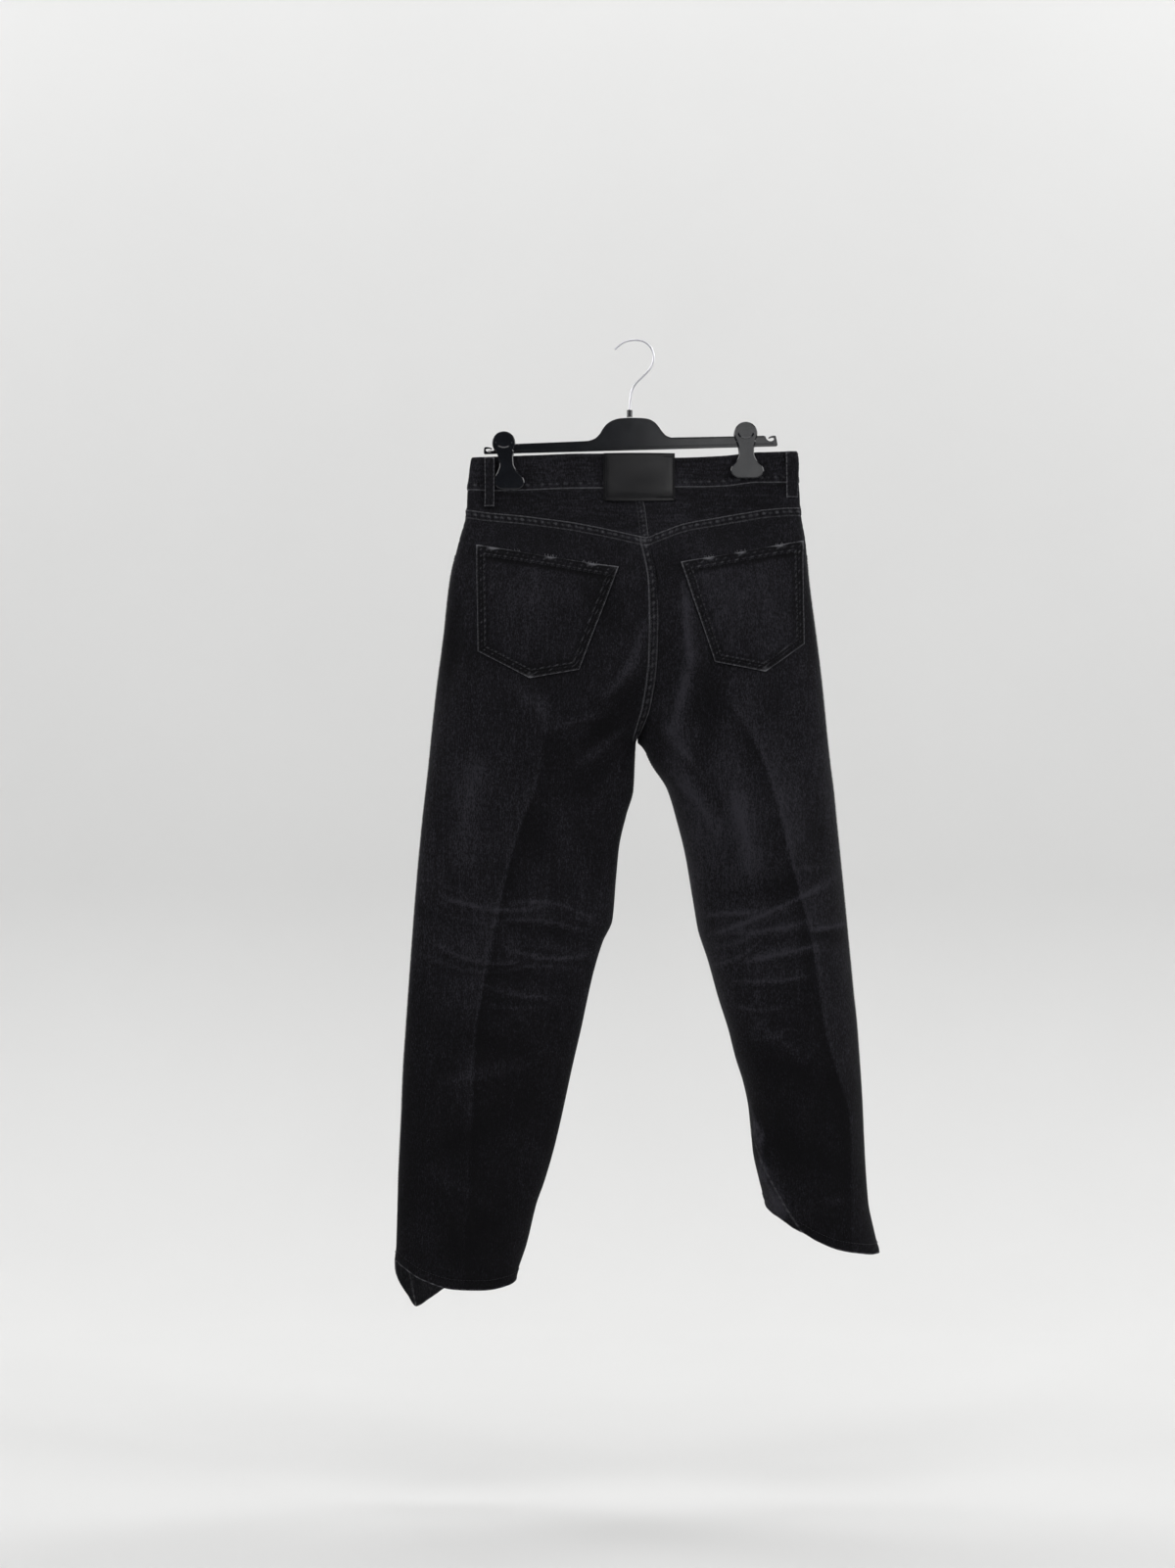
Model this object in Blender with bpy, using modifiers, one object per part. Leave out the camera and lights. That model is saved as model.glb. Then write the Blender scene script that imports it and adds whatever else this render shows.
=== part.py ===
"""Boyfriend jeans hung by the waistband from a two-clip hanger.

Metres, +Z up. The origin is where the hook bears on its rail, at the inner
side of the bend. The wearer's left is +X and the front of the jeans faces -Y.
Sizes and tables are in millimetres; heights z run down from the origin.
"""

import math

import bmesh
import bpy
from mathutils import Vector

MM = 0.001

# Cloth and trim thicknesses
PANEL_WALL = 1.6
BAND_WALL = 3.0
BAND_PROUD = 0.6
POCKET_WALL = 1.4
FACING_WALL = 1.2
PATCH_WALL = 1.6
LOOP_WALL = 1.8
FLY_WALL = 1.4
SEAM_GAP = 0.3
EDGE_GAP = 0.55
LAY_GAP = 0.5
HEM_TURN = 14.0
HEM_PROUD = 0.5

# The crotch: the centre seams curve under over the last RISE_CURVE above it
CROTCH = -490.0
RISE_CURVE = 140.0
RISE_ROUND = 0.35

# Where the clips press the front and back waistband together
CLIP_HALF = 24.0
CLIP_EASE_INNER = 55.0
CLIP_EASE_OUTER = 30.0
CLIP_FACE = 3.7
CLIP_LOW = -184.0
CLIP_FADE = 85.0

# Sections of the left half. Columns: height z, outer fold, inner fold, front
# depth, back depth, roundness of the folds. The inner fold counts below the crotch.
LEFT_SECTIONS = (
    (-130.0, 199.0, 0.0, 5.0, 5.0, 7.0),
    (-150.0, 203.0, 0.0, 5.0, 5.0, 7.0),
    (-183.0, 207.0, 0.0, 6.0, 8.0, 7.0),
    (-212.0, 208.5, 0.0, 10.0, 14.0, 7.0),
    (-243.0, 216.5, 0.0, 15.0, 22.0, 7.0),
    (-293.0, 228.4, 0.0, 24.0, 34.0, 7.0),
    (-364.0, 236.4, 0.0, 32.0, 43.0, 6.0),
    (-424.0, 244.3, 0.0, 34.0, 45.0, 5.0),
    (-490.0, 251.4, 1.0, 34.0, 44.0, 4.0),
    (-510.0, 253.3, 2.4, 33.0, 42.0, 4.0),
    (-549.0, 257.6, 4.0, 31.0, 38.0, 4.0),
    (-581.0, 261.3, 12.6, 30.0, 36.0, 4.0),
    (-621.0, 265.3, 21.6, 29.0, 34.0, 4.0),
    (-661.0, 268.9, 25.3, 28.0, 33.0, 4.0),
    (-709.0, 272.7, 29.4, 27.0, 31.0, 4.0),
    (-736.0, 274.7, 41.3, 26.0, 30.0, 4.0),
    (-776.0, 277.7, 53.3, 26.0, 29.0, 4.0),
    (-842.0, 282.5, 67.8, 26.0, 29.0, 4.0),
    (-894.0, 286.0, 79.7, 26.0, 28.0, 4.0),
    (-944.0, 288.2, 90.4, 26.0, 28.0, 4.0),
    (-989.0, 290.4, 101.0, 26.0, 28.0, 4.0),
    (-1029.0, 292.0, 112.8, 26.0, 28.0, 4.0),
    (-1055.0, 292.9, 122.0, 26.0, 28.0, 4.0),
    (-1105.0, 294.3, 134.2, 26.0, 28.0, 4.0),
    (-1148.0, 296.6, 147.2, 26.0, 28.0, 4.0),
    (-1200.0, 297.0, 152.0, 26.0, 28.0, 4.0),
)

# The right half, in the same columns, its folds measured towards -X
RIGHT_SECTIONS = (
    (-130.0, 192.0, 0.0, 5.0, 5.0, 7.0),
    (-150.0, 196.0, 0.0, 5.0, 5.0, 7.0),
    (-183.0, 199.6, 0.0, 6.0, 8.0, 7.0),
    (-212.0, 201.2, 0.0, 10.0, 14.0, 7.0),
    (-243.0, 206.4, 0.0, 15.0, 22.0, 7.0),
    (-293.0, 211.2, 0.0, 24.0, 34.0, 7.0),
    (-364.0, 220.4, 0.0, 32.0, 43.0, 6.0),
    (-424.0, 227.5, 0.0, 34.0, 45.0, 5.0),
    (-490.0, 234.0, 1.0, 34.0, 44.0, 4.0),
    (-499.0, 235.0, 9.0, 35.0, 44.5, 4.0),
    (-518.0, 237.2, 18.4, 38.0, 46.0, 4.0),
    (-549.0, 241.2, 38.3, 43.0, 50.0, 4.0),
    (-589.0, 245.2, 50.3, 48.0, 53.0, 4.0),
    (-629.0, 249.2, 60.2, 50.0, 54.0, 4.0),
    (-688.0, 255.2, 70.2, 50.0, 53.0, 4.0),
    (-721.0, 258.3, 76.1, 49.0, 52.0, 4.0),
    (-757.0, 261.9, 88.0, 48.0, 51.0, 4.0),
    (-800.0, 266.2, 100.0, 47.0, 49.0, 4.0),
    (-842.0, 270.5, 113.2, 45.0, 47.0, 4.0),
    (-878.0, 273.2, 122.3, 44.0, 46.0, 4.0),
    (-908.0, 275.3, 131.8, 43.0, 45.0, 4.0),
    (-941.0, 277.0, 138.4, 42.0, 44.0, 4.0),
    (-990.0, 279.3, 142.3, 41.0, 43.0, 4.0),
    (-1029.0, 281.7, 150.7, 40.0, 42.0, 4.0),
    (-1055.0, 284.0, 157.4, 40.0, 42.0, 4.0),
    (-1090.0, 291.4, 164.0, 39.0, 40.0, 4.0),
    (-1130.0, 301.0, 168.0, 38.0, 38.0, 4.0),
)

# Centre seams. Columns: height z, x at the back, x at the front.
CENTRE = (
    (-130.0, -3.0, -2.0),
    (-183.0, -5.0, -2.0),
    (-205.0, -10.5, -2.5),
    (-243.0, -15.0, -4.0),
    (-300.0, -25.0, -8.0),
    (-345.0, -26.0, -10.0),
    (-400.0, -24.0, -9.0),
    (-448.0, -17.0, -5.0),
    (-473.0, -8.0, -2.5),
    (-490.0, 0.0, 0.0),
)

# Waistband edges. Columns: x, top edge, lower seam.
BAND_EDGES = (
    (205.0, -142.8, -183.0),
    (170.0, -141.5, -184.0),
    (110.0, -139.5, -182.4),
    (40.0, -138.6, -181.8),
    (-50.0, -143.6, -180.7),
    (-108.0, -140.5, -178.4),
    (-150.0, -136.2, -173.8),
    (-200.0, -135.6, -174.4),
)

# Seam between yoke and back panel. Columns: x, z.
YOKE_SEAM = (
    (212.0, -206.0),
    (176.0, -210.6),
    (139.0, -214.2),
    (108.0, -218.6),
    (77.0, -223.4),
    (29.0, -233.0),
    (0.0, -240.0),
    (-12.0, -242.5),
    (-24.0, -238.0),
    (-58.0, -225.0),
    (-98.0, -216.6),
    (-134.0, -210.2),
    (-162.0, -205.8),
    (-206.0, -203.6),
)

# Angles of the lengthwise seams round each leg: 0 is the outer fold, 90 the
# back, 180 the inner fold. Columns: height z, side seam, inseam.
LEFT_SEAMS = (
    (-130.0, -14.0, 180.0),
    (-250.0, -9.0, 180.0),
    (-490.0, -9.0, 180.0),
    (-620.0, -10.0, 184.0),
    (-1000.0, -16.0, 188.0),
    (-1100.0, -30.0, 190.0),
    (-1186.0, -49.0, 190.0),
)
RIGHT_SEAMS = (
    (-130.0, -14.0, 180.0),
    (-250.0, -9.0, 180.0),
    (-490.0, -9.0, 180.0),
    (-620.0, -8.0, 182.0),
    (-928.0, -12.0, 178.0),
    (-1010.0, -14.0, 146.0),
    (-1036.0, -16.0, 137.0),
    (-1088.0, -18.0, 114.0),
)

# Hem height round each leg. Columns: angle, z.
LEFT_HEM = (
    (-180.0, -1148.0),
    (-150.0, -1149.0),
    (-120.0, -1151.0),
    (-85.0, -1161.0),
    (-67.0, -1175.0),
    (-49.0, -1186.0),
    (-38.0, -1172.0),
    (-25.0, -1157.0),
    (-8.0, -1137.0),
    (0.0, -1127.0),
    (15.0, -1126.0),
    (30.0, -1131.0),
    (60.0, -1147.0),
    (90.0, -1157.0),
    (120.0, -1158.5),
    (150.0, -1154.5),
    (180.0, -1148.0),
)
RIGHT_HEM = (
    (-180.0, -1056.0),
    (-150.0, -1057.0),
    (-120.0, -1063.0),
    (-90.0, -1073.0),
    (-60.0, -1085.0),
    (-30.0, -1101.0),
    (0.0, -1115.5),
    (30.0, -1115.4),
    (57.0, -1112.0),
    (77.0, -1107.5),
    (100.0, -1096.6),
    (113.0, -1087.6),
    (125.0, -1081.0),
    (140.0, -1070.0),
    (180.0, -1056.0),
)

# Lengthwise pressed ridge on the back and front of each leg. Columns: z, x, height.
LEFT_PRESS = (
    (-430.0, 106.0, 0.0),
    (-520.0, 118.0, 3.0),
    (-629.0, 152.8, 5.0),
    (-776.0, 184.8, 5.0),
    (-842.0, 196.2, 4.5),
    (-1020.0, 205.0, 3.0),
    (-1150.0, 212.0, 2.0),
)
RIGHT_PRESS = (
    (-400.0, -90.0, 0.0),
    (-460.0, -125.0, 3.0),
    (-521.0, -157.0, 6.0),
    (-629.0, -185.5, 7.0),
    (-740.0, -213.4, 6.5),
    (-842.0, -229.2, 6.0),
    (-960.0, -259.8, 4.0),
    (-1060.0, -262.0, 2.0),
)
PRESS_REACH = 34.0

# Folds of the seat and thighs. Columns: side of the cloth, first end x and z,
# second end x and z, reach to each side, height (less than 0 is a trough).
FOLDS = (
    ("back", -10.0, -351.0, 10.0, -405.0, 13.0, 5.0),
    ("back", 10.0, -405.0, 40.0, -436.0, 14.0, 4.0),
    ("back", 6.0, -430.0, 60.0, -500.0, 22.0, -4.0),
    ("back", -58.0, -300.0, -64.0, -392.0, 14.0, 6.0),
    ("back", -64.0, -392.0, -46.0, -474.0, 15.0, 6.0),
    ("back", -92.0, -420.0, -84.0, -520.0, 20.0, -4.0),
    ("back", 150.0, -420.0, 96.0, -470.0, 24.0, 3.0),
    ("front", 16.0, -380.0, 62.0, -430.0, 15.0, 5.0),
    ("front", -30.0, -384.0, -74.0, -440.0, 15.0, 5.0),
    ("front", 12.0, -300.0, 30.0, -420.0, 18.0, -3.5),
    ("front", -96.0, -430.0, -80.0, -520.0, 20.0, -3.5),
)

# Back pockets. Columns: corner, x, z.
LEFT_POCKET = {
    "outer top": (195.4, -250.6),
    "inner top": (22.1, -278.9),
    "inner foot": (70.0, -404.0),
    "point": (130.2, -414.2),
    "outer foot": (193.3, -381.2),
}
RIGHT_POCKET = {
    "outer top": (-202.6, -245.2),
    "inner top": (-53.4, -273.0),
    "inner foot": (-94.1, -394.4),
    "point": (-155.8, -406.4),
    "outer foot": (-204.4, -371.6),
}

# Front pocket opening: how far it runs along the waist and down the side seam
SCOOP_WIDTH = 103.0
SCOOP_DEPTH = 76.0
SCOOP_POWER = 2.2
FACING_BELOW = 34.0

# Belt loops. Columns: name, side of the cloth, x of the middle, top z, foot z.
BELT_LOOPS = (
    ("belt_loop_back_left", "back", 180.6, -142.6, -203.0),
    ("belt_loop_back_right", "back", -190.4, -135.8, -192.4),
    ("belt_loop_front_left", "front", 104.0, -140.6, -200.0),
    ("belt_loop_front_right", "front", -94.0, -141.4, -196.0),
)
LOOP_WIDTH = 12.4
LOOP_ARCH = 2.6

# Patch at the centre back, over band and yoke
PATCH_LEFT = 40.4
PATCH_RIGHT = -46.6
PATCH_TOP = -138.8
PATCH_FOOT = -196.6

# Front closing
FLY_WIDTH = 36.0
FLY_LAP = 4.0
FLY_LENGTH = 158.0
BAND_UNDERLAP = 34.0
ZIP_HALF = 13.0
ZIP_LENGTH = 150.0
BUTTON_RADIUS = 8.5

# Hanger
BAR_HALF = 2.0
HUMP_HALF = 2.6
SADDLE_WALL = 1.4
JAW_WALL = 3.2
HOOK_RADIUS = 1.4
LEFT_CLIP_X = 155.0
LEFT_CLIP_HEAD = (162.4, -125.2)
LEFT_CLIP_FOOT = -182.0
RIGHT_CLIP_X = -135.8
RIGHT_CLIP_HEAD = (-133.7, -113.6)
RIGHT_CLIP_FOOT = -168.4
CLIP_HEAD_RADIUS = 14.2
CLIP_NECK_HALF = 8.9
CLIP_FOOT_HALF = 18.3

COLOURS = {
    "denim": ((0.016, 0.017, 0.021, 1.0), 0.92, 0.0),
    "patch": ((0.012, 0.012, 0.014, 1.0), 0.45, 0.0),
    "plastic": ((0.010, 0.011, 0.013, 1.0), 0.35, 0.0),
    "steel": ((0.62, 0.62, 0.60, 1.0), 0.28, 1.0),
    "zip tape": ((0.010, 0.010, 0.012, 1.0), 0.9, 0.0),
}


def clear_scene():
    for old in list(bpy.data.objects):
        bpy.data.objects.remove(old)


def clamp(value, low=0.0, high=1.0):
    return max(low, min(high, value))


def soft(value):
    value = clamp(value)
    return value * value * (3.0 - 2.0 * value)


def read(table, at, column):
    """A column of a table at a value of its first column, on a smooth curve with no overshoot."""
    rows = table if table[0][0] < table[-1][0] else table[::-1]
    if at <= rows[0][0]:
        return rows[0][column]
    if at >= rows[-1][0]:
        return rows[-1][column]
    last = len(rows) - 1
    i = 0
    while rows[i + 1][0] < at:
        i += 1

    def steepness(j):
        return (rows[j + 1][column] - rows[j][column]) / (rows[j + 1][0] - rows[j][0])

    def slope(j):
        if j == 0:
            return steepness(0)
        if j == last:
            return steepness(last - 1)
        before = steepness(j - 1)
        after = steepness(j)
        if before * after <= 0.0:
            return 0.0
        return 2.0 * before * after / (before + after)

    step = rows[i + 1][0] - rows[i][0]
    t = (at - rows[i][0]) / step
    rise = rows[i + 1][column] - rows[i][column]
    start = rows[i][column]
    return (
        start
        + rise * t * t * (3.0 - 2.0 * t)
        + step * slope(i) * t * (1.0 - t) ** 2
        - step * slope(i + 1) * t * t * (1.0 - t)
    )


HALVES = {
    "left": {
        "sign": 1.0,
        "sections": LEFT_SECTIONS,
        "seams": LEFT_SEAMS,
        "hem": LEFT_HEM,
        "press": LEFT_PRESS,
        "clip": LEFT_CLIP_X,
    },
    "right": {
        "sign": -1.0,
        "sections": RIGHT_SECTIONS,
        "seams": RIGHT_SEAMS,
        "hem": RIGHT_HEM,
        "press": RIGHT_PRESS,
        "clip": RIGHT_CLIP_X,
    },
}


def end_angle(z):
    """Angle of the centre seam round a half: 90 at the hips, 180 at the crotch and below."""
    t = clamp((CROTCH + RISE_CURVE - z) / RISE_CURVE)
    parted = t * t * (3.0 - 2.0 * t) + RISE_ROUND * t * t * (t - 1.0)
    return 90.0 + math.degrees(math.asin(clamp(parted)))


def spread(half, z, back):
    """Outer fold and half width of a half's section at a height, outwards from the middle."""
    outer = read(half["sections"], z, 1)
    if z <= CROTCH:
        inner = read(half["sections"], z, 2)
    else:
        seam = read(CENTRE, z, 1 if back else 2)
        inner = half["sign"] * seam + 0.5 * SEAM_GAP
        near = soft((CROTCH + 12.0 - z) / 12.0)
        inner += near * (1.0 - 0.5 * SEAM_GAP)
    return outer, (outer - inner) / (1.0 - math.cos(math.radians(end_angle(z))))


def clip_hold(half, x, z):
    """How far a clip presses the cloth flat here: 1 under its jaws, 0 away from it."""
    away = (x - half["clip"]) * half["sign"]
    ease = CLIP_EASE_OUTER if away > 0.0 else CLIP_EASE_INNER
    across = 1.0 - soft((abs(away) - CLIP_HALF) / ease)
    down = 1.0 - soft((CLIP_LOW - z) / CLIP_FADE)
    return across * down


def fold_height(side, half, x, z):
    """Height of the folds and the pressed ridge at a point of the front or the back."""
    total = 0.0
    for face, x0, z0, x1, z1, reach, height in FOLDS:
        if face != side:
            continue
        run_x = x1 - x0
        run_z = z1 - z0
        along = ((x - x0) * run_x + (z - z0) * run_z) / (run_x**2 + run_z**2)
        along = clamp(along)
        away = math.hypot(x - x0 - along * run_x, z - z0 - along * run_z)
        total += height * math.exp(-((away / reach) ** 2))
    ridge = read(half["press"], z, 2)
    away = abs(x - read(half["press"], z, 1))
    total += ridge * math.exp(-away / PRESS_REACH * 1.6)
    return total


def skin(half, angle, z):
    """Point of the garment's outer face in millimetres, by angle round a half and height."""
    angle = (angle + 180.0) % 360.0 - 180.0
    back = angle >= 0.0
    outer, wide = spread(half, z, back)
    turn = math.radians(angle)
    x = half["sign"] * (outer - wide * (1.0 - math.cos(turn)))
    deep = read(half["sections"], z, 4 if back else 3)
    rounded = read(half["sections"], z, 5)
    rise = math.sin(turn)
    y = rise * (deep + rounded / math.sqrt(rise * rise + 0.04))
    side = "back" if y >= 0.0 else "front"
    facing = 1.0 if y >= 0.0 else -1.0
    y += facing * fold_height(side, half, x, z) * min(1.0, abs(rise) * 1.6)
    hold = clip_hold(half, x, z)
    flat = facing * min(CLIP_FACE, abs(rise) * 20.0)
    y += (flat - y) * hold
    return Vector((x, y, z))


def outward(half, angle, z):
    """Unit normal of the outer face."""
    round_it = skin(half, angle + 0.6, z) - skin(half, angle - 0.6, z)
    up_it = skin(half, angle, z + 1.5) - skin(half, angle, z - 1.5)
    return (round_it.cross(up_it) * half["sign"]).normalized()


def moved_out(half, angle, z, out):
    return skin(half, angle, z) + outward(half, angle, z) * out


def angle_at(half, x, z, side):
    """Angle round a half of the front or back point with this x."""
    outer, wide = spread(half, z, side == "back")
    turn = math.acos(clamp(1.0 - (outer - x * half["sign"]) / wide, -1.0, 1.0))
    return math.degrees(turn) if side == "back" else -math.degrees(turn)


def half_of(x, z, side):
    seam = read(CENTRE, z, 1 if side == "back" else 2)
    return HALVES["left"] if x >= seam else HALVES["right"]


def on_face(x, z, side, out):
    """Point of the front or back at x and z, moved out from the outer face."""
    half = half_of(x, z, side)
    angle = angle_at(half, x, z, side)
    end = end_angle(z) - 0.3
    angle = max(-end, min(end, angle))
    return moved_out(half, angle, z, out)


def arc_step(half, angle, z):
    """Degrees that cover one millimetre of cloth here."""
    length = (skin(half, angle + 0.5, z) - skin(half, angle - 0.5, z)).length
    return 1.0 / max(length, 0.05)


def make_material(name):
    material = bpy.data.materials.get(name)
    if material:
        return material
    colour, roughness, metallic = COLOURS[name]
    material = bpy.data.materials.new(name)
    material.use_nodes = True
    material.diffuse_color = colour
    shader = material.node_tree.nodes["Principled BSDF"]
    shader.inputs["Base Color"].default_value = colour
    shader.inputs["Roughness"].default_value = roughness
    shader.inputs["Metallic"].default_value = metallic
    return material


def link(obj, material, parent=None):
    collection = bpy.data.collections.get("Boyfriend jeans")
    if collection is None:
        collection = bpy.data.collections.new("Boyfriend jeans")
        bpy.context.scene.collection.children.link(collection)
    for old in list(obj.users_collection):
        old.objects.unlink(obj)
    collection.objects.link(obj)
    obj.data.materials.append(make_material(material))
    obj.parent = parent
    return obj


def wall(name, outer, inner, material, parent):
    """Closed sheet between an outer and an inner grid of points with the same rows and columns."""
    rows = len(outer)
    columns = len(outer[0])
    mesh = bmesh.new()
    faces_out = [[mesh.verts.new(point * MM) for point in row] for row in outer]
    faces_in = [[mesh.verts.new(point * MM) for point in row] for row in inner]

    def patch(a, b, c, d):
        mesh.faces.new((a, b, c))
        mesh.faces.new((a, c, d))

    for i in range(rows - 1):
        for j in range(columns - 1):
            for grid in (faces_out, faces_in):
                patch(grid[i][j], grid[i][j + 1], grid[i + 1][j + 1], grid[i + 1][j])
    for j in range(columns - 1):
        for i in (0, rows - 1):
            patch(faces_out[i][j], faces_out[i][j + 1], faces_in[i][j + 1], faces_in[i][j])
    for i in range(rows - 1):
        for j in (0, columns - 1):
            patch(faces_out[i][j], faces_out[i + 1][j], faces_in[i + 1][j], faces_in[i][j])
    bmesh.ops.recalc_face_normals(mesh, faces=mesh.faces)
    data = bpy.data.meshes.new(name)
    mesh.to_mesh(data)
    mesh.free()
    data.shade_smooth()
    data.set_sharp_from_angle(angle=math.radians(40.0))
    return link(bpy.data.objects.new(name, data), material, parent)


def sheet(name, place, rows, columns, proud, thick, material, parent):
    """Wall whose outer face is place(row, column, proud) and inner face lies thick below it."""
    outer = [[place(i, j, proud) for j in range(columns)] for i in range(rows)]
    PANEL_POINTS[name] = outer
    inner = [[place(i, j, proud - thick) for j in range(columns)] for i in range(rows)]
    return wall(name, outer, inner, material, parent)


# Columns of a leg panel between its side seam and its inner edge, closer at the folds
PANEL_COLUMNS = (0.0, 0.03, 0.085, 0.16, 0.26, 0.37, 0.48, 0.58, 0.68, 0.78, 0.87, 0.94, 0.98, 1.0)

# Heights of the rows of a leg panel, closer where the centre seam curves under
HIP_ROWS = (-183.0, -205.0, -232.0, -262.0, -296.0, -330.0, -360.0)
LEG_ROWS = (-502.0, -525.0, -556.0, -592.0, -632.0, -675.0, -715.0, -755.0, -800.0)
LEG_LOW_ROWS = (-848.0, -896.0, -944.0, -985.0, -1022.0, -1052.0, -1078.0)
HEM_ROWS = (0.45, 0.78, 1.0)


def curve_rows():
    steps = 7
    return tuple(
        CROTCH + RISE_CURVE * (1.0 - math.sin(0.5 * math.pi * i / steps)) for i in range(steps + 1)
    )


def column_angle(half, share, z, back):
    """Angle at a share of the way from the side seam to the centre seam or inseam."""
    side_seam = read(half["seams"], z, 1)
    if z > CROTCH:
        end = end_angle(z)
        start = side_seam
        stop = end if back else -end
    else:
        start = side_seam
        inseam = read(half["seams"], z, 2)
        stop = inseam if back else inseam - 360.0
    sense = 1.0 if back else -1.0
    start += sense * 0.5 * SEAM_GAP * arc_step(half, start, z)
    stop -= sense * 0.5 * SEAM_GAP * arc_step(half, stop, z)
    return start + (stop - start) * share


def wrapped(angle):
    return (angle + 180.0) % 360.0 - 180.0


def band_seam(x):
    return read(BAND_EDGES, x, 2)


def top_edge(half, angle, back):
    """Upper edge of a leg panel: the yoke seam at the back, the waistband seam in front."""
    z = HIP_ROWS[0]
    for _ in range(4):
        x = skin(half, angle, z).x
        if back:
            z = read(YOKE_SEAM, x, 1) - 0.5 * EDGE_GAP
        else:
            z = band_seam(x) - EDGE_GAP
    return z


def leg_panel(half_name, back):
    half = HALVES[half_name]
    first = -250.0 if back else -225.0
    heights = [h for h in HIP_ROWS if h < first] + list(curve_rows())
    heights += [h for h in LEG_ROWS + LEG_LOW_ROWS]
    hem_top = heights[-1] if half_name == "left" else -1000.0
    heights = [h for h in heights if h > hem_top - 1.0]
    top_steps = 3

    def place(i, j, out):
        share = PANEL_COLUMNS[j] if back else PANEL_COLUMNS[-1 - j]
        if i < top_steps:
            start = column_angle(half, share, -205.0, back)
            for _ in range(3):
                edge = top_edge(half, start, back)
                start = column_angle(half, share, edge, back)
            edge = top_edge(half, start, back)
            z = edge + (heights[0] - edge) * i / top_steps
        elif i < top_steps + len(heights):
            z = heights[i - top_steps]
        else:
            z = heights[-1]
            low = HEM_ROWS[i - top_steps - len(heights)]
            for _ in range(4):
                angle = column_angle(half, share, z, back)
                edge = read(half["hem"], wrapped(angle), 1)
                z = heights[-1] + (edge - heights[-1]) * low
        angle = column_angle(half, share, z, back)
        extra = HEM_PROUD if i == top_steps + len(heights) + len(HEM_ROWS) - 1 and out >= 0.0 else 0.0
        return moved_out(half, angle, z, out + extra)

    rows = top_steps + len(heights) + len(HEM_ROWS)
    name = ("back_" if back else "front_") + half_name
    return sheet(name, place, rows, len(PANEL_COLUMNS), 0.0, PANEL_WALL, "denim", ROOT)


def yoke(half_name):
    half = HALVES[half_name]
    rows = 4

    def place(i, j, out):
        share = PANEL_COLUMNS[j]
        z = -200.0
        for _ in range(4):
            angle = column_angle(half, share, z, True)
            x = skin(half, angle, z).x
            top = band_seam(x) - EDGE_GAP
            foot = read(YOKE_SEAM, x, 1) + 0.5 * EDGE_GAP
            z = top + (foot - top) * i / (rows - 1)
        return moved_out(half, column_angle(half, share, z, True), z, out)

    return sheet("yoke_" + half_name, place, rows, len(PANEL_COLUMNS), 0.0, PANEL_WALL, "denim", ROOT)


ROOT = None
PANEL_POINTS = {}


def laid_on(name, panel, half_name, side, corners, gap, thick, material):
    """Flat piece sewn on a panel: the panel's own facets inside a convex outline, moved out."""
    half = HALVES[half_name]
    mesh = bmesh.new()
    grid = [[mesh.verts.new(point) for point in row] for row in PANEL_POINTS[panel]]
    for i in range(len(grid) - 1):
        for j in range(len(grid[0]) - 1):
            mesh.faces.new((grid[i][j], grid[i][j + 1], grid[i + 1][j + 1]))
            mesh.faces.new((grid[i][j], grid[i + 1][j + 1], grid[i + 1][j]))
    middle_x = sum(x for x, z in corners) / len(corners)
    middle_z = sum(z for x, z in corners) / len(corners)
    for (x0, z0), (x1, z1) in zip(corners, corners[1:] + corners[:1]):
        away = Vector((z1 - z0, 0.0, x0 - x1)).normalized()
        if away.x * (middle_x - x0) + away.z * (middle_z - z0) > 0.0:
            away.negate()
        everything = mesh.verts[:] + mesh.edges[:] + mesh.faces[:]
        bmesh.ops.bisect_plane(
            mesh, geom=everything, dist=0.01, plane_co=(x0, 0.0, z0), plane_no=away, clear_outer=True
        )
    mesh.verts.index_update()
    result = bmesh.new()
    lower = []
    upper = []
    for vertex in mesh.verts:
        spot = vertex.co
        normal = outward(half, angle_at(half, spot.x, spot.z, side), spot.z)
        lower.append(result.verts.new((spot + normal * gap) * MM))
        upper.append(result.verts.new((spot + normal * (gap + thick)) * MM))
    for face in mesh.faces:
        at = [vertex.index for vertex in face.verts]
        result.faces.new([upper[k] for k in at])
        result.faces.new([lower[k] for k in reversed(at)])
    for edge in mesh.edges:
        if len(edge.link_faces) == 1:
            a, b = (vertex.index for vertex in edge.verts)
            result.faces.new((lower[a], lower[b], upper[b], upper[a]))
    mesh.free()
    bmesh.ops.recalc_face_normals(result, faces=result.faces)
    data = bpy.data.meshes.new(name)
    result.to_mesh(data)
    result.free()
    data.shade_smooth()
    data.set_sharp_from_angle(angle=math.radians(40.0))
    return link(bpy.data.objects.new(name, data), material, ROOT)


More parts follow.
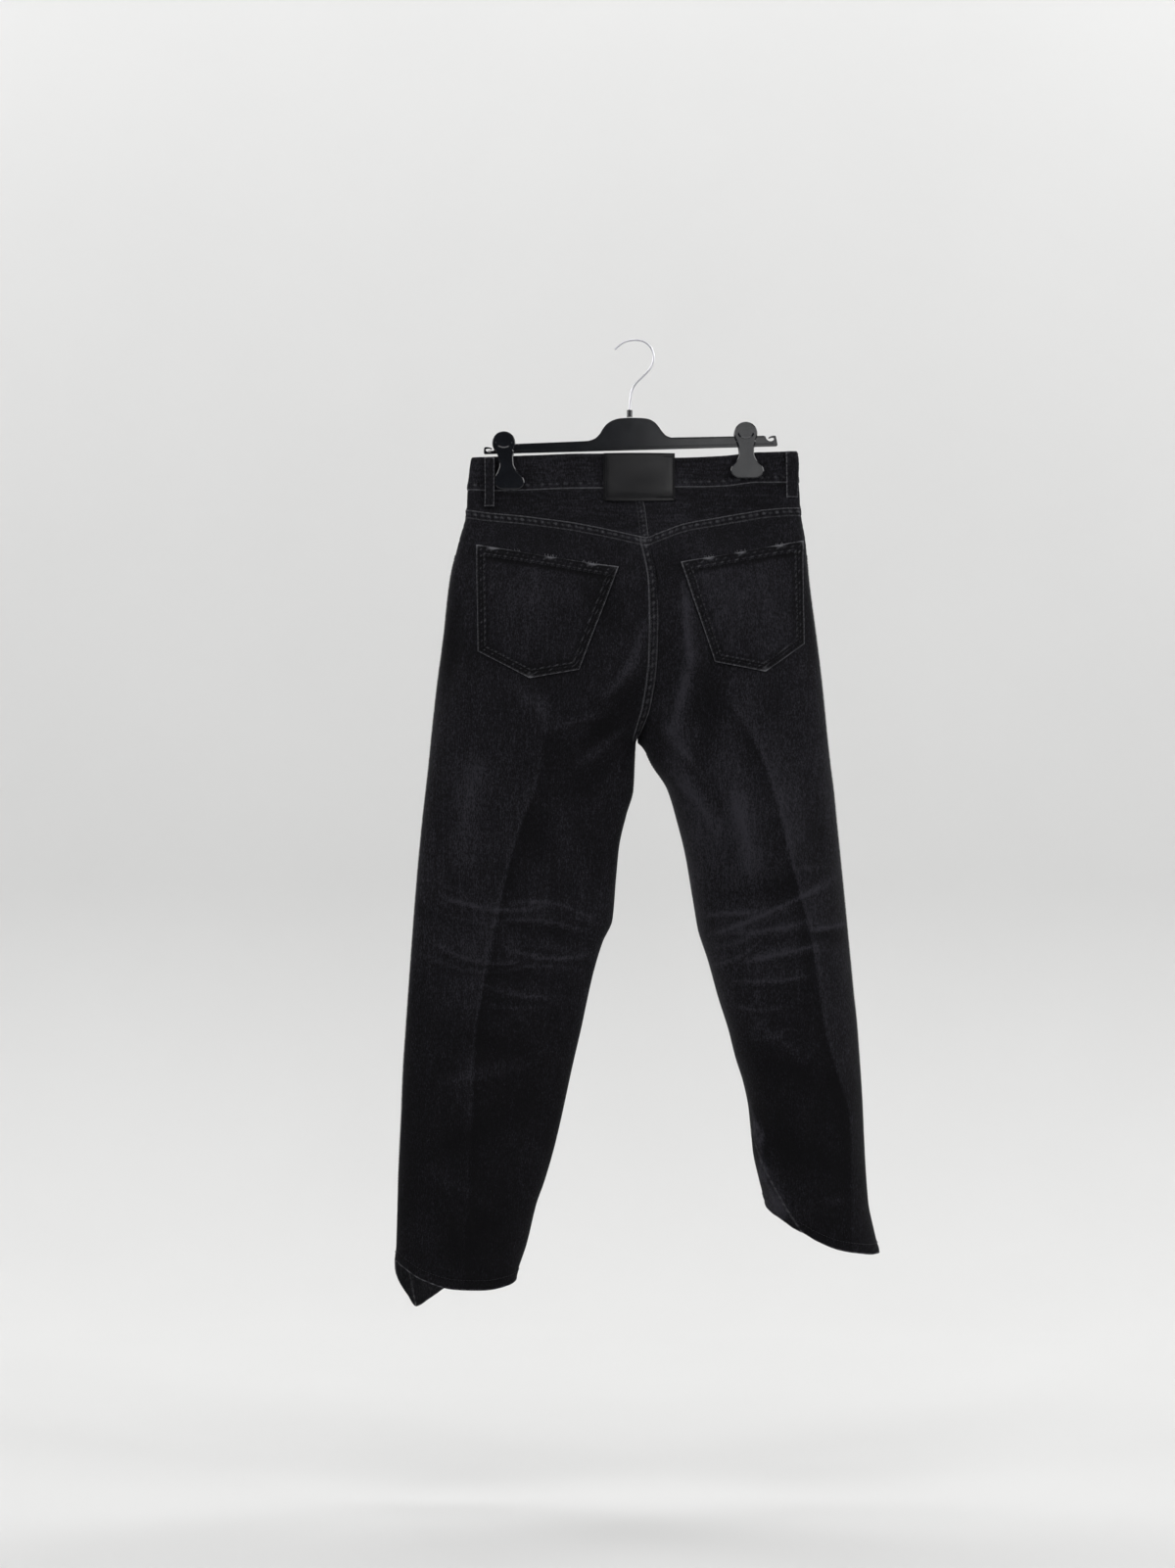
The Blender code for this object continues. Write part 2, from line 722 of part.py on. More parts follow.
def waistband():
    """Waistband as one strip from the lapped left end, round the back, to the under end."""
    front_seam = read(CENTRE, -160.0, 2)
    over_end = front_seam - FLY_LAP
    under_end = front_seam + BAND_UNDERLAP
    spots = [("left", "front", None, over_end)]
    spots += [("left", "front", None, front_seam + step) for step in (9.0, 22.0, 35.0, 47.0, 62.0)]
    last_over = len(spots)
    for name, side in (("left", "front"), ("left", "back"), ("right", "back"), ("right", "front")):
        sign = HALVES[name]["sign"]
        clip_x = HALVES[name]["clip"]
        run = [(name, side, None, sign * x) for x in (10.0, 28.0, 46.0, 64.0, 82.0)]
        if (name, side) == ("left", "front"):
            run = run[4:]
        run += [(name, side, None, clip_x + sign * step) for step in (-40.0, -CLIP_HALF, 0.0, CLIP_HALF)]
        run += [(name, side, angle, None) for angle in ((19.0, 10.0, 4.0) if side == "back" else (-19.0, -10.0, -4.0))]
        if (name, side) in (("left", "back"), ("right", "front")):
            run.reverse()
            run.insert(0, (name, side, 0.0, None))
        spots += run
    spots += [("right", "front", None, front_seam - 2.0)]
    spots += [("left", "front", None, front_seam + step) for step in (12.0, 24.0)]
    spots += [("left", "front", None, under_end)]
    share_of_height = (0.0, 0.34, 0.67, 1.0)

    def place(i, j, out):
        name, side, angle, x = spots[j]
        half = HALVES[name]
        z = -160.0
        for _ in range(3):
            at = angle if x is None else angle_at(half, x, z, side)
            here = skin(half, at, z).x
            top = read(BAND_EDGES, here, 1)
            foot = band_seam(here) + SEAM_GAP * 0.5
            z = top + (foot - top) * share_of_height[i]
        if j < last_over:
            lift = (BAND_WALL + LAY_GAP) * (1.0 - soft((x - under_end - 2.0) / 24.0))
            out += lift
        return moved_out(half, at, z, out)

    return sheet("waistband", place, len(share_of_height), len(spots), BAND_PROUD, BAND_WALL, "denim", ROOT)


def back_pocket(half_name, corners):
    outline = list(corners.values())
    name = "back_pocket_" + half_name
    panel = "back_" + half_name
    laid_on(name, panel, half_name, "back", outline, LAY_GAP, POCKET_WALL, "denim")


def scoop_outline(half_name, more):
    """Outline of a front pocket opening, widened by more, from the waistband seam to the side seam."""
    half = HALVES[half_name]
    sign = half["sign"]
    outer = read(half["sections"], CLIP_LOW, 1)
    top = band_seam(sign * (outer - 0.5 * SCOOP_WIDTH))
    points = []
    for i in range(13):
        turn = math.radians(90.0 * i / 12)
        along = math.sin(turn) ** (2.0 / SCOOP_POWER)
        down = math.cos(turn) ** (2.0 / SCOOP_POWER)
        x = outer - (SCOOP_WIDTH + more) * along
        points.append((sign * x, top - (SCOOP_DEPTH + more) * down))
    return points, outer, top


def scoop_cut(half_name):
    """Cuts the front pocket opening out of a front panel."""
    points, outer, top = scoop_outline(half_name, 0.0)
    sign = HALVES[half_name]["sign"]
    lowest = points[0][1]
    outline = [(sign * (outer + 30.0), lowest)] + points
    outline += [(points[-1][0], top + 12.0), (sign * (outer + 30.0), top + 12.0)]
    cutter = outline_plate("scoop_" + half_name, outline, 160.0, -40.0, 0.0, "denim")
    cutter.hide_render = True
    cutter.display_type = "WIRE"
    cut = bpy.data.objects["front_" + half_name].modifiers.new("Pocket opening", "BOOLEAN")
    cut.object = cutter
    cut.operation = "DIFFERENCE"


def pocket_facing(half_name):
    """Cloth behind the pocket opening, the front panel's own facets moved in."""
    sign = HALVES[half_name]["sign"]
    points, outer, top = scoop_outline(half_name, 8.0)
    seam_x = read(HALVES[half_name]["sections"], -240.0, 1) + 10.0
    inner_x = points[-1][0]
    low = points[0][1] - FACING_BELOW
    outline = [(sign * seam_x, top + 10.0), (inner_x, top + 10.0), (inner_x, low + 40.0)]
    outline += [(inner_x + sign * 30.0, low + 8.0), (sign * (seam_x + 20.0), low)]
    gap = -(PANEL_WALL + LAY_GAP + FACING_WALL)
    name = "pocket_facing_" + half_name
    laid_on(name, "front_" + half_name, half_name, "front", outline, gap, FACING_WALL, "denim")


def patch():
    columns = 9
    rows = 4

    def place(i, j, out):
        x = PATCH_LEFT + (PATCH_RIGHT - PATCH_LEFT) * j / (columns - 1)
        z = PATCH_TOP + (PATCH_FOOT - PATCH_TOP) * i / (rows - 1)
        point = on_face(x, min(z, read(BAND_EDGES, x, 1) + 2.0), "back", 0.0)
        return Vector((point.x, point.y + out, z))

    top_of_it = BAND_PROUD + LAY_GAP + PATCH_WALL
    return sheet("patch", place, rows, columns, top_of_it, PATCH_WALL, "patch", ROOT)


def belt_loop(name, side, x, top, foot):
    rows = 9
    shares = (-0.5, 0.0, 0.5)

    def place(i, j, out):
        down = i / (rows - 1)
        z = top + (foot - top) * down
        half = half_of(x, z, side)
        middle = angle_at(half, x, z, side)
        turn = shares[j] * LOOP_WIDTH * arc_step(half, middle, z)
        arch = LOOP_ARCH * math.sin(math.pi * down) ** 0.6
        return moved_out(half, middle + turn, z, out + arch)

    top_of_it = BAND_PROUD + 2.0 * LAY_GAP + LOOP_WALL
    return sheet(name, place, rows, len(shares), top_of_it, LOOP_WALL, "denim", ROOT)


def fly():
    """Flap of the front closing on the left front, straight at the centre, curved in at its foot."""
    top = band_seam(0.0) - 1.0
    foot = top - FLY_LENGTH
    centre = read(CENTRE, top, 2) + 1.0
    low = read(CENTRE, foot, 2) + 2.5
    outline = [(centre + FLY_WIDTH, top), (centre, top), (low, foot + 3.0), (low + 3.0, foot)]
    for i in range(1, 5):
        turn = math.radians(22.5 * i)
        x = low + 5.0 + (centre + FLY_WIDTH - low - 5.0) * math.sin(turn)
        z = foot + 1.0 + (FLY_WIDTH + 8.0) * (1.0 - math.cos(turn))
        outline.append((x, z))
    laid_on("fly", "front_left", "left", "front", outline, LAY_GAP, FLY_WALL, "denim")


def zip_tape():
    rows = 7
    columns = 5

    def place(i, j, out):
        z = band_seam(0.0) - 2.0 - ZIP_LENGTH * i / (rows - 1)
        seam = read(CENTRE, z, 2)
        x = seam - ZIP_HALF + 2.0 * ZIP_HALF * j / (columns - 1)
        return on_face(x, z, "front", out)

    top_of_it = -(PANEL_WALL + 2.0 * LAY_GAP)
    return sheet("zip", place, rows, columns, top_of_it, FACING_WALL, "zip tape", ROOT)


def button():
    seam = read(CENTRE, -160.0, 2)
    x = seam + 10.0
    z = -160.5
    face = on_face(x, z, "front", BAND_PROUD + BAND_WALL + LAY_GAP)
    depth = 3.2
    bpy.ops.mesh.primitive_cylinder_add(
        vertices=28,
        radius=BUTTON_RADIUS * MM,
        depth=depth * MM,
        location=Vector((face.x, face.y - 0.5 * depth - 0.5, face.z)) * MM,
        rotation=(math.radians(90.0), 0.0, 0.0),
    )
    obj = bpy.context.object
    obj.name = "button"
    obj.data.name = "button"
    edge = obj.modifiers.new("Rounded rim", "BEVEL")
    edge.width = 0.8 * MM
    edge.segments = 2
    edge.limit_method = "ANGLE"
    return link(obj, "steel", ROOT)


def outline_plate(name, points, thick, middle_y, rounding, material):
    """Flat plate in the XZ plane from its outline, as a filled curve made into a mesh."""
    curve = bpy.data.curves.new(name, "CURVE")
    curve.dimensions = "2D"
    curve.fill_mode = "BOTH"
    curve.extrude = 0.5 * thick * MM
    line = curve.splines.new("POLY")
    line.points.add(len(points) - 1)
    for spot, (x, z) in zip(line.points, points):
        spot.co = (x * MM, z * MM, 0.0, 1.0)
    line.use_cyclic_u = True
    shape = bpy.data.objects.new(name + "_outline", curve)
    bpy.context.scene.collection.objects.link(shape)
    shape.rotation_euler = (math.radians(90.0), 0.0, 0.0)
    shape.location = (0.0, middle_y * MM, 0.0)
    bpy.context.view_layer.update()
    graph = bpy.context.evaluated_depsgraph_get()
    data = bpy.data.meshes.new_from_object(shape.evaluated_get(graph))
    data.name = name
    mesh = bmesh.new()
    mesh.from_mesh(data)
    bmesh.ops.remove_doubles(mesh, verts=mesh.verts, dist=1e-6)
    bmesh.ops.recalc_face_normals(mesh, faces=mesh.faces)
    mesh.to_mesh(data)
    mesh.free()
    obj = bpy.data.objects.new(name, data)
    obj.matrix_world = shape.matrix_world.copy()
    bpy.data.objects.remove(shape)
    if rounding:
        edge = obj.modifiers.new("Moulded edge", "BEVEL")
        edge.width = rounding * MM
        edge.segments = 1
        edge.limit_method = "ANGLE"
        edge.angle_limit = math.radians(50.0)
    return link(obj, material, ROOT)


def arc(x, z, radius, start, stop, steps):
    points = []
    for i in range(steps + 1):
        turn = math.radians(start + (stop - start) * i / steps)
        points.append((x + radius * math.cos(turn), z + radius * math.sin(turn)))
    return points


def bar_edge(x):
    """Top and bottom of the straight parts of the hanger bar."""
    bottom = -133.4 - 0.0272 * x
    top = (-121.9 - 0.040 * (x - 50.0)) if x > 0.0 else (-118.0 - 0.019 * (x + 42.0))
    return top, bottom


def hanger_bar():
    left = 186.0
    right = -171.0
    hump_left = 56.0
    hump_right = -41.0
    outline = [(left, bar_edge(left)[1])]
    outline += [(right, bar_edge(right)[1])]
    outline += [(right - 1.5, bar_edge(right)[1] + 5.0), (right, bar_edge(right)[0] - 1.0)]
    outline += [(right + 5.0, bar_edge(right)[0]), (right + 7.5, bar_edge(right)[0] - 3.4)]
    outline += [(right + 10.5, bar_edge(right)[0] - 3.4), (right + 12.5, bar_edge(right)[0])]
    outline += [(hump_right, bar_edge(hump_right)[0])]
    outline += [(-37.5, -114.8), (-25.6, -101.6), (-22.4, -97.4), (-17.0, -94.6), (-4.2, -93.0)]
    outline += [(21.8, -93.6), (31.0, -96.2), (37.4, -100.6), (46.5, -113.0), (51.5, -119.2)]
    outline += [(hump_left, bar_edge(hump_left)[0])]
    outline += [(left - 12.0, bar_edge(left)[0]), (left - 9.5, bar_edge(left)[0] - 3.0)]
    outline += [(left - 6.0, bar_edge(left)[0] - 3.0), (left - 3.5, bar_edge(left)[0] + 1.0)]
    outline += [(left, bar_edge(left)[0] - 1.0)]
    return outline_plate("hanger_bar", outline, 2.0 * BAR_HALF, 0.0, 0.5, "plastic")


def clip_outline(x, head, foot):
    """Outline of a jaw: a round head, a neck and a foot with two lobes, leaning with the hanger."""
    head_x, head_z = head
    neck_z = foot + 33.0
    lobe_z = foot + 11.0
    points = arc(head_x, head_z, CLIP_HEAD_RADIUS, -52.0, 232.0, 18)
    middle = x + (head_x - x) * 0.62
    points += [(middle - CLIP_NECK_HALF, neck_z + 5.0)]
    points += [(middle - CLIP_NECK_HALF, neck_z - 4.0)]
    points += [(x - CLIP_NECK_HALF - 3.0, lobe_z + 10.5)]
    points += arc(x - CLIP_FOOT_HALF + 6.0, lobe_z - 1.0, 6.0, 130.0, 200.0, 3)
    points += arc(x - CLIP_FOOT_HALF + 5.0, foot + 3.0, 3.0, 200.0, 270.0, 2)
    points += arc(x + CLIP_FOOT_HALF - 5.0, foot + 3.0, 3.0, -90.0, -20.0, 2)
    points += arc(x + CLIP_FOOT_HALF - 6.0, lobe_z - 1.0, 6.0, -20.0, 50.0, 3)
    points += [(x + CLIP_NECK_HALF + 3.0, lobe_z + 10.5)]
    points += [(middle + CLIP_NECK_HALF, neck_z - 4.0)]
    points += [(middle + CLIP_NECK_HALF, neck_z + 5.0)]
    return points


def clip(name, x, head, foot):
    outline = clip_outline(x, head, foot)
    inside = CLIP_FACE + BAND_PROUD + LAY_GAP
    middle = inside + 0.5 * JAW_WALL
    outline_plate("clip_" + name + "_back_jaw", outline, JAW_WALL, middle, 0.7, "plastic")
    outline_plate("clip_" + name + "_front_jaw", outline, JAW_WALL, -middle, 0.7, "plastic")
    top, bottom = bar_edge(head[0])
    width = 15.0
    tall = top - bottom + 2.0 * (LAY_GAP + SADDLE_WALL) + 2.4
    deep = 2.0 * (inside - LAY_GAP)
    bpy.ops.mesh.primitive_cube_add(size=1.0, location=(head[0] * MM, 0.0, 0.5 * (top + bottom) * MM))
    block = bpy.context.object
    block.name = "clip_" + name + "_saddle"
    block.data.name = block.name
    block.scale = (width * MM, deep * MM, tall * MM)
    bpy.ops.object.transform_apply(location=False, rotation=False, scale=True)
    lean = math.atan(0.0272)
    block.rotation_euler = (0.0, lean, 0.0)
    bpy.ops.mesh.primitive_cube_add(size=1.0, location=(head[0] * MM, 0.0, 0.5 * (top + bottom) * MM))
    slot = bpy.context.object
    slot.name = "clip_" + name + "_slot"
    hole_deep = 2.0 * (BAR_HALF + SEAM_GAP)
    slot.scale = (width * 3.0 * MM, hole_deep * MM, (top - bottom + 2.0 * LAY_GAP + 1.2) * MM)
    slot.rotation_euler = (0.0, lean, 0.0)
    slot.hide_render = True
    slot.display_type = "WIRE"
    cut = block.modifiers.new("Slot for the bar", "BOOLEAN")
    cut.object = slot
    cut.operation = "DIFFERENCE"
    link(block, "plastic", ROOT)


def tube(name, points, radius, material):
    curve = bpy.data.curves.new(name, "CURVE")
    curve.dimensions = "3D"
    curve.bevel_depth = radius * MM
    curve.bevel_resolution = 2
    curve.use_fill_caps = True
    line = curve.splines.new("POLY")
    line.points.add(len(points) - 1)
    for spot, (x, z) in zip(line.points, points):
        spot.co = (x * MM, 0.0, z * MM, 1.0)
    obj = bpy.data.objects.new(name, curve)
    return link(obj, material, ROOT)


# Middle of the hook's wire. Columns: x, z.
HOOK_PATH = (
    (26.5, -10.0),
    (17.0, -2.2),
    (8.0, 0.9),
    (0.0, 1.4),
    (-8.4, -0.2),
    (-16.8, -6.6),
    (-20.9, -17.0),
    (-18.9, -29.6),
    (-10.9, -40.4),
    (-0.6, -50.4),
    (5.0, -59.0),
    (7.4, -71.0),
    (8.4, -84.0),
)


def smooth_path(points, steps):
    """Points along a Catmull-Rom curve through the given ones."""
    full = [points[0]] + list(points) + [points[-1]]
    result = []
    for i in range(1, len(full) - 2):
        for k in range(steps):
            t = k / steps
            spot = []
            for axis in (0, 1):
                a, b, c, d = (full[i + n][axis] for n in (-1, 0, 1, 2))
                spot.append(
                    0.5
                    * (
                        2.0 * b
                        + (c - a) * t
                        + (2.0 * a - 5.0 * b + 4.0 * c - d) * t * t
                        + (3.0 * b - a - 3.0 * c + d) * t**3
                    )
                )
            result.append(tuple(spot))
    result.append(points[-1])
    return result


def hanger_hook():
    tube("hanger_hook", smooth_path(HOOK_PATH, 3), HOOK_RADIUS, "steel")
    foot_x, foot_z = HOOK_PATH[-1]
    hump_top = -93.3
    tall = foot_z - SEAM_GAP - hump_top - SEAM_GAP
    bpy.ops.mesh.primitive_cylinder_add(
        vertices=20,
        radius=3.4 * MM,
        depth=tall * MM,
        location=(foot_x * MM, 0.0, (hump_top + SEAM_GAP + 0.5 * tall) * MM),
    )
    obj = bpy.context.object
    obj.name = "hanger_collar"
    obj.data.name = "hanger_collar"
    link(obj, "steel", ROOT)


def build():
    global ROOT
    clear_scene()
    ROOT = bpy.data.objects.new("jeans_on_hanger", None)
    bpy.context.scene.collection.objects.link(ROOT)
    for half_name in ("left", "right"):
        leg_panel(half_name, True)
        leg_panel(half_name, False)
        yoke(half_name)
        pocket_facing(half_name)
        scoop_cut(half_name)
    waistband()
    back_pocket("left", LEFT_POCKET)
    back_pocket("right", RIGHT_POCKET)
    patch()
    for row in BELT_LOOPS:
        belt_loop(*row)
    fly()
    zip_tape()
    button()
    hanger_bar()
    hanger_hook()
    clip("left", LEFT_CLIP_X, LEFT_CLIP_HEAD, LEFT_CLIP_FOOT)
    clip("right", RIGHT_CLIP_X, RIGHT_CLIP_HEAD, RIGHT_CLIP_FOOT)


build()
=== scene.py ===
"""Finished look of a pair of black boyfriend jeans hung from a two-clip hanger.

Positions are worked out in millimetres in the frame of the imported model: the
hook bears on its rail at the origin, +Z is up, the wearer's left is +X and the
front of the jeans faces -Y.
"""

import math

import bmesh
import bpy
import numpy as np
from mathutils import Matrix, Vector


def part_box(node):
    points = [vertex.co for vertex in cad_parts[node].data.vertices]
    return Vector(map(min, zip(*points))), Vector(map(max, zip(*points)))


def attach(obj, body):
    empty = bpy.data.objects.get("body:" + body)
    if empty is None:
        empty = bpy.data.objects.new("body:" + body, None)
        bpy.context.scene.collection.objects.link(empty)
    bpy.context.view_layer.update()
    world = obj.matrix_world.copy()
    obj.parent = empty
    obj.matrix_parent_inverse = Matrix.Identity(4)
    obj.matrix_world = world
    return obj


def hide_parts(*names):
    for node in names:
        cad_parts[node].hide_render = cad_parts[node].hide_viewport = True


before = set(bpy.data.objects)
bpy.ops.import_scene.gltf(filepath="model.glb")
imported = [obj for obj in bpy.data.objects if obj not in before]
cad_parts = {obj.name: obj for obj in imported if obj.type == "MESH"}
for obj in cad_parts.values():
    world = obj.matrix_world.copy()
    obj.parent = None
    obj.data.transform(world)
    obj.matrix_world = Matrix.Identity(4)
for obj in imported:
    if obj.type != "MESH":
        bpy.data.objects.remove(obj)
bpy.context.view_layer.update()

MM = 0.001

# Cloth and trim thicknesses
PANEL_WALL = 1.5
BAND_WALL = 2.9
BAND_PROUD = 0.6
POCKET_WALL = 1.3
FACING_WALL = 1.1
LOOP_WALL = 1.7
FLY_WALL = 1.3
SEAM_GAP = 0.3
EDGE_GAP = 0.55
LAY_GAP = 0.5

# Rows and columns of points in the larger cloth pieces
BACK_GRID = (318, 124)
FRONT_GRID = (240, 96)
YOKE_GRID = (34, 124)
BAND_GRID = (32, 190)
LEFT_POCKET_GRID = (96, 104)
RIGHT_POCKET_GRID = (96, 96)

# The crotch: the centre seams curve under over the last RISE_CURVE above it
CROTCH = -490.0
RISE_CURVE = 140.0
RISE_ROUND = 0.35

# Where the clips press the front and back waistband together
CLIP_HALF = 24.0
CLIP_EASE_INNER = 55.0
CLIP_EASE_OUTER = 30.0
CLIP_FACE = 3.7
CLIP_LOW = -184.0
CLIP_FADE = 85.0

# Sections of the left half. Columns: height z, outer fold, inner fold, front
# depth, back depth, roundness of the folds. The inner fold counts below the crotch.
LEFT_SECTIONS = (
    (-130, 199, 0, 5, 5, 7),
    (-150, 203, 0, 5, 5, 7),
    (-183, 207, 0, 6, 8, 7),
    (-212, 208.5, 0, 10, 14, 7),
    (-243, 216.5, 0, 15, 22, 7),
    (-293, 228.4, 0, 24, 34, 7),
    (-364, 236.4, 0, 32, 43, 6),
    (-424, 244.3, 0, 34, 45, 5),
    (-490, 251.4, 1, 34, 44, 4),
    (-510, 253.3, 2.4, 33, 42, 4),
    (-549, 257.6, 4, 31, 38, 4),
    (-581, 261.3, 12.6, 30, 36, 4),
    (-621, 265.3, 21.6, 29, 34, 4),
    (-661, 268.9, 25.3, 28, 33, 4),
    (-709, 272.7, 29.4, 27, 31, 4),
    (-736, 274.7, 41.3, 26, 30, 4),
    (-776, 277.7, 53.3, 26, 29, 4),
    (-842, 282.5, 67.8, 26, 29, 4),
    (-894, 286, 79.7, 26, 28, 4),
    (-944, 288.2, 90.4, 26, 28, 4),
    (-989, 290.4, 101, 26, 28, 4),
    (-1029, 292, 112.8, 26, 28, 4),
    (-1055, 292.9, 122, 26, 28, 4),
    (-1105, 294.3, 134.2, 26, 28, 4),
    (-1148, 296.6, 147.2, 26, 28, 4),
    (-1200, 297, 152, 26, 28, 4),
)

# The right half, in the same columns, its folds measured towards -X
RIGHT_SECTIONS = (
    (-130, 192, 0, 5, 5, 7),
    (-150, 196, 0, 5, 5, 7),
    (-183, 199.6, 0, 6, 8, 7),
    (-212, 201.2, 0, 10, 14, 7),
    (-243, 206.4, 0, 15, 22, 7),
    (-293, 211.2, 0, 24, 34, 7),
    (-364, 220.4, 0, 32, 43, 6),
    (-424, 227.5, 0, 34, 45, 5),
    (-490, 234, 1, 34, 44, 4),
    (-499, 235, 9, 35, 44.5, 4),
    (-518, 237.2, 18.4, 38, 46, 4),
    (-549, 241.2, 38.3, 43, 50, 4),
    (-589, 245.2, 50.3, 48, 53, 4),
    (-629, 249.2, 60.2, 50, 54, 4),
    (-688, 255.2, 70.2, 50, 53, 4),
    (-721, 258.3, 76.1, 49, 52, 4),
    (-757, 261.9, 88, 48, 51, 4),
    (-800, 266.2, 100, 47, 49, 4),
    (-842, 270.5, 113.2, 45, 47, 4),
    (-878, 273.2, 122.3, 44, 46, 4),
    (-908, 275.3, 131.8, 43, 45, 4),
    (-941, 277, 138.4, 42, 44, 4),
    (-990, 279.3, 142.3, 41, 43, 4),
    (-1029, 281.7, 150.7, 40, 42, 4),
    (-1055, 284, 157.4, 40, 42, 4),
    (-1090, 291.4, 164, 39, 40, 4),
    (-1130, 301, 168, 38, 38, 4),
)

# Centre seams. Columns: height z, x at the back, x at the front.
CENTRE = (
    (-130, -3, -2),
    (-183, -5, -2),
    (-205, -10.5, -2.5),
    (-243, -15, -4),
    (-300, -25, -8),
    (-345, -26, -10),
    (-400, -24, -9),
    (-448, -17, -5),
    (-473, -8, -2.5),
    (-490, 0, 0),
)

# Waistband edges, and a level between them. Columns: x, top edge, lower seam.
BAND_LEVEL = -160.0
BAND_EDGES = (
    (205, -142.8, -183),
    (170, -141.5, -184),
    (110, -139.5, -182.4),
    (40, -138.6, -181.8),
    (-50, -143.6, -180.7),
    (-108, -140.5, -178.4),
    (-150, -136.2, -173.8),
    (-200, -135.6, -174.4),
)

# Seam between yoke and back panel. Columns: x, z.
YOKE_SEAM = (
    (212, -206),
    (176, -210.6),
    (139, -214.2),
    (108, -218.6),
    (77, -223.4),
    (29, -233),
    (0, -240),
    (-12, -242.5),
    (-24, -238),
    (-58, -225),
    (-98, -216.6),
    (-134, -210.2),
    (-162, -205.8),
    (-206, -203.6),
)

# Angles of the lengthwise seams round each leg: 0 is the outer fold, 90 the
# back, 180 the inner fold. Columns: height z, side seam, inseam.
LEFT_SEAMS = (
    (-130, -14, 180),
    (-250, -9, 180),
    (-490, -9, 180),
    (-620, -10, 184),
    (-1000, -16, 188),
    (-1100, -30, 190),
    (-1186, -49, 190),
)
RIGHT_SEAMS = (
    (-130, -14, 180),
    (-250, -9, 180),
    (-490, -9, 180),
    (-620, -8, 182),
    (-928, -12, 178),
    (-1010, -14, 146),
    (-1036, -16, 137),
    (-1088, -18, 114),
)

# Hem height round each leg. Columns: angle, z.
LEFT_HEM = (
    (-180, -1148),
    (-150, -1149),
    (-120, -1151),
    (-85, -1161),
    (-67, -1175),
    (-49, -1186),
    (-38, -1172),
    (-25, -1157),
    (-8, -1137),
    (0, -1127),
    (15, -1126),
    (30, -1131),
    (60, -1147),
    (90, -1157),
    (120, -1158.5),
    (150, -1154.5),
    (180, -1148),
)
RIGHT_HEM = (
    (-180, -1056),
    (-150, -1057),
    (-120, -1063),
    (-90, -1073),
    (-60, -1085),
    (-30, -1101),
    (0, -1115.5),
    (30, -1115.4),
    (57, -1112),
    (77, -1107.5),
    (100, -1096.6),
    (113, -1087.6),
    (125, -1081),
    (140, -1070),
    (180, -1056),
)
HEM_DEEP = 14.0

# Width over which a seam's turnings raise the cloth beside it
SIDE_TURNING = 10.5
CENTRE_TURNING = 10.0
INSEAM_TURNING = 9.0
YOKE_TURNING = 10.5

# Lengthwise pressed ridge on the back and front of each leg. Columns: z, x, height.
LEFT_PRESS = (
    (-430, 106, 0),
    (-520, 118, 3),
    (-629, 152.8, 5),
    (-776, 184.8, 5),
    (-842, 196.2, 4.5),
    (-1020, 205, 3),
    (-1150, 212, 2),
)
RIGHT_PRESS = (
    (-400, -90, 0),
    (-460, -125, 3),
    (-521, -157, 6),
    (-629, -185.5, 7),
    (-740, -213.4, 6.5),
    (-842, -229.2, 6),
    (-960, -259.8, 4),
    (-1060, -262, 2),
)
PRESS_REACH = 34.0

# The shins are darker: where that starts and over what height it comes in
SHIN_TOP = -780.0
SHIN_FADE = 160.0

# Folds of the seat and thighs, each with painted light along its crest and painted
# shade along its trough. Columns: side of the cloth, first end x and z, second end x
# and z, reach to each side, height (less than 0 is a trough).
FOLDS = (
    ("back", -10, -351, 10, -405, 13, 5),
    ("back", 10, -405, 40, -436, 14, 4),
    ("back", 6, -430, 60, -500, 22, -4),
    ("back", -58, -300, -64, -392, 14, 6),
    ("back", -64, -392, -46, -474, 15, 6),
    ("back", -92, -420, -84, -520, 20, -4),
    ("back", 150, -420, 96, -470, 24, 3),
    ("front", 16, -380, 62, -430, 15, 5),
    ("front", -30, -384, -74, -440, 15, 5),
    ("front", 12, -300, 30, -420, 18, -3.5),
    ("front", -96, -430, -80, -520, 20, -3.5),
)

# Pale bowed lines worn into the knees, on the back and a little lower on the front.
# Columns: x and z of the first end, of the middle and of the second end, how worn.
FRONT_ARCS_LOWER = 14.0
WORN_ARCS = (
    (259, -665, 180, -694, 103, -688, 0.34),
    (175, -696, 110, -686, 38, -718, 0.30),
    (268, -684, 215, -706, 150, -713, 0.24),
    (182, -712, 113, -709, 44, -731, 0.34),
    (178, -731, 119, -753, 47, -747, 0.36),
    (271, -717, 205, -755, 119, -751, 0.32),
    (276, -743, 200, -769, 118, -759, 0.26),
    (160, -768, 112, -764, 58, -774, 0.24),
    (200, -781, 140, -799, 80, -800, 0.26),
    (196, -806, 142, -815, 96, -812, 0.16),
    (-72, -732, -162, -696, -254, -649, 0.42),
    (-70, -706, -112, -699, -152, -699, 0.36),
    (-100, -722, -162, -719, -228, -699, 0.30),
    (-84, -742, -120, -735, -150, -722, 0.26),
    (-86, -763, -128, -749, -160, -722, 0.30),
    (-112, -762, -176, -747, -240, -733, 0.36),
    (-104, -779, -160, -781, -222, -769, 0.30),
    (-200, -718, -230, -717, -262, -711, 0.36),
    (-112, -808, -148, -816, -188, -808, 0.22),
    (-134, -852, -162, -848, -190, -833, 0.22),
    (-174, -648, -212, -643, -250, -643, 0.16),
)
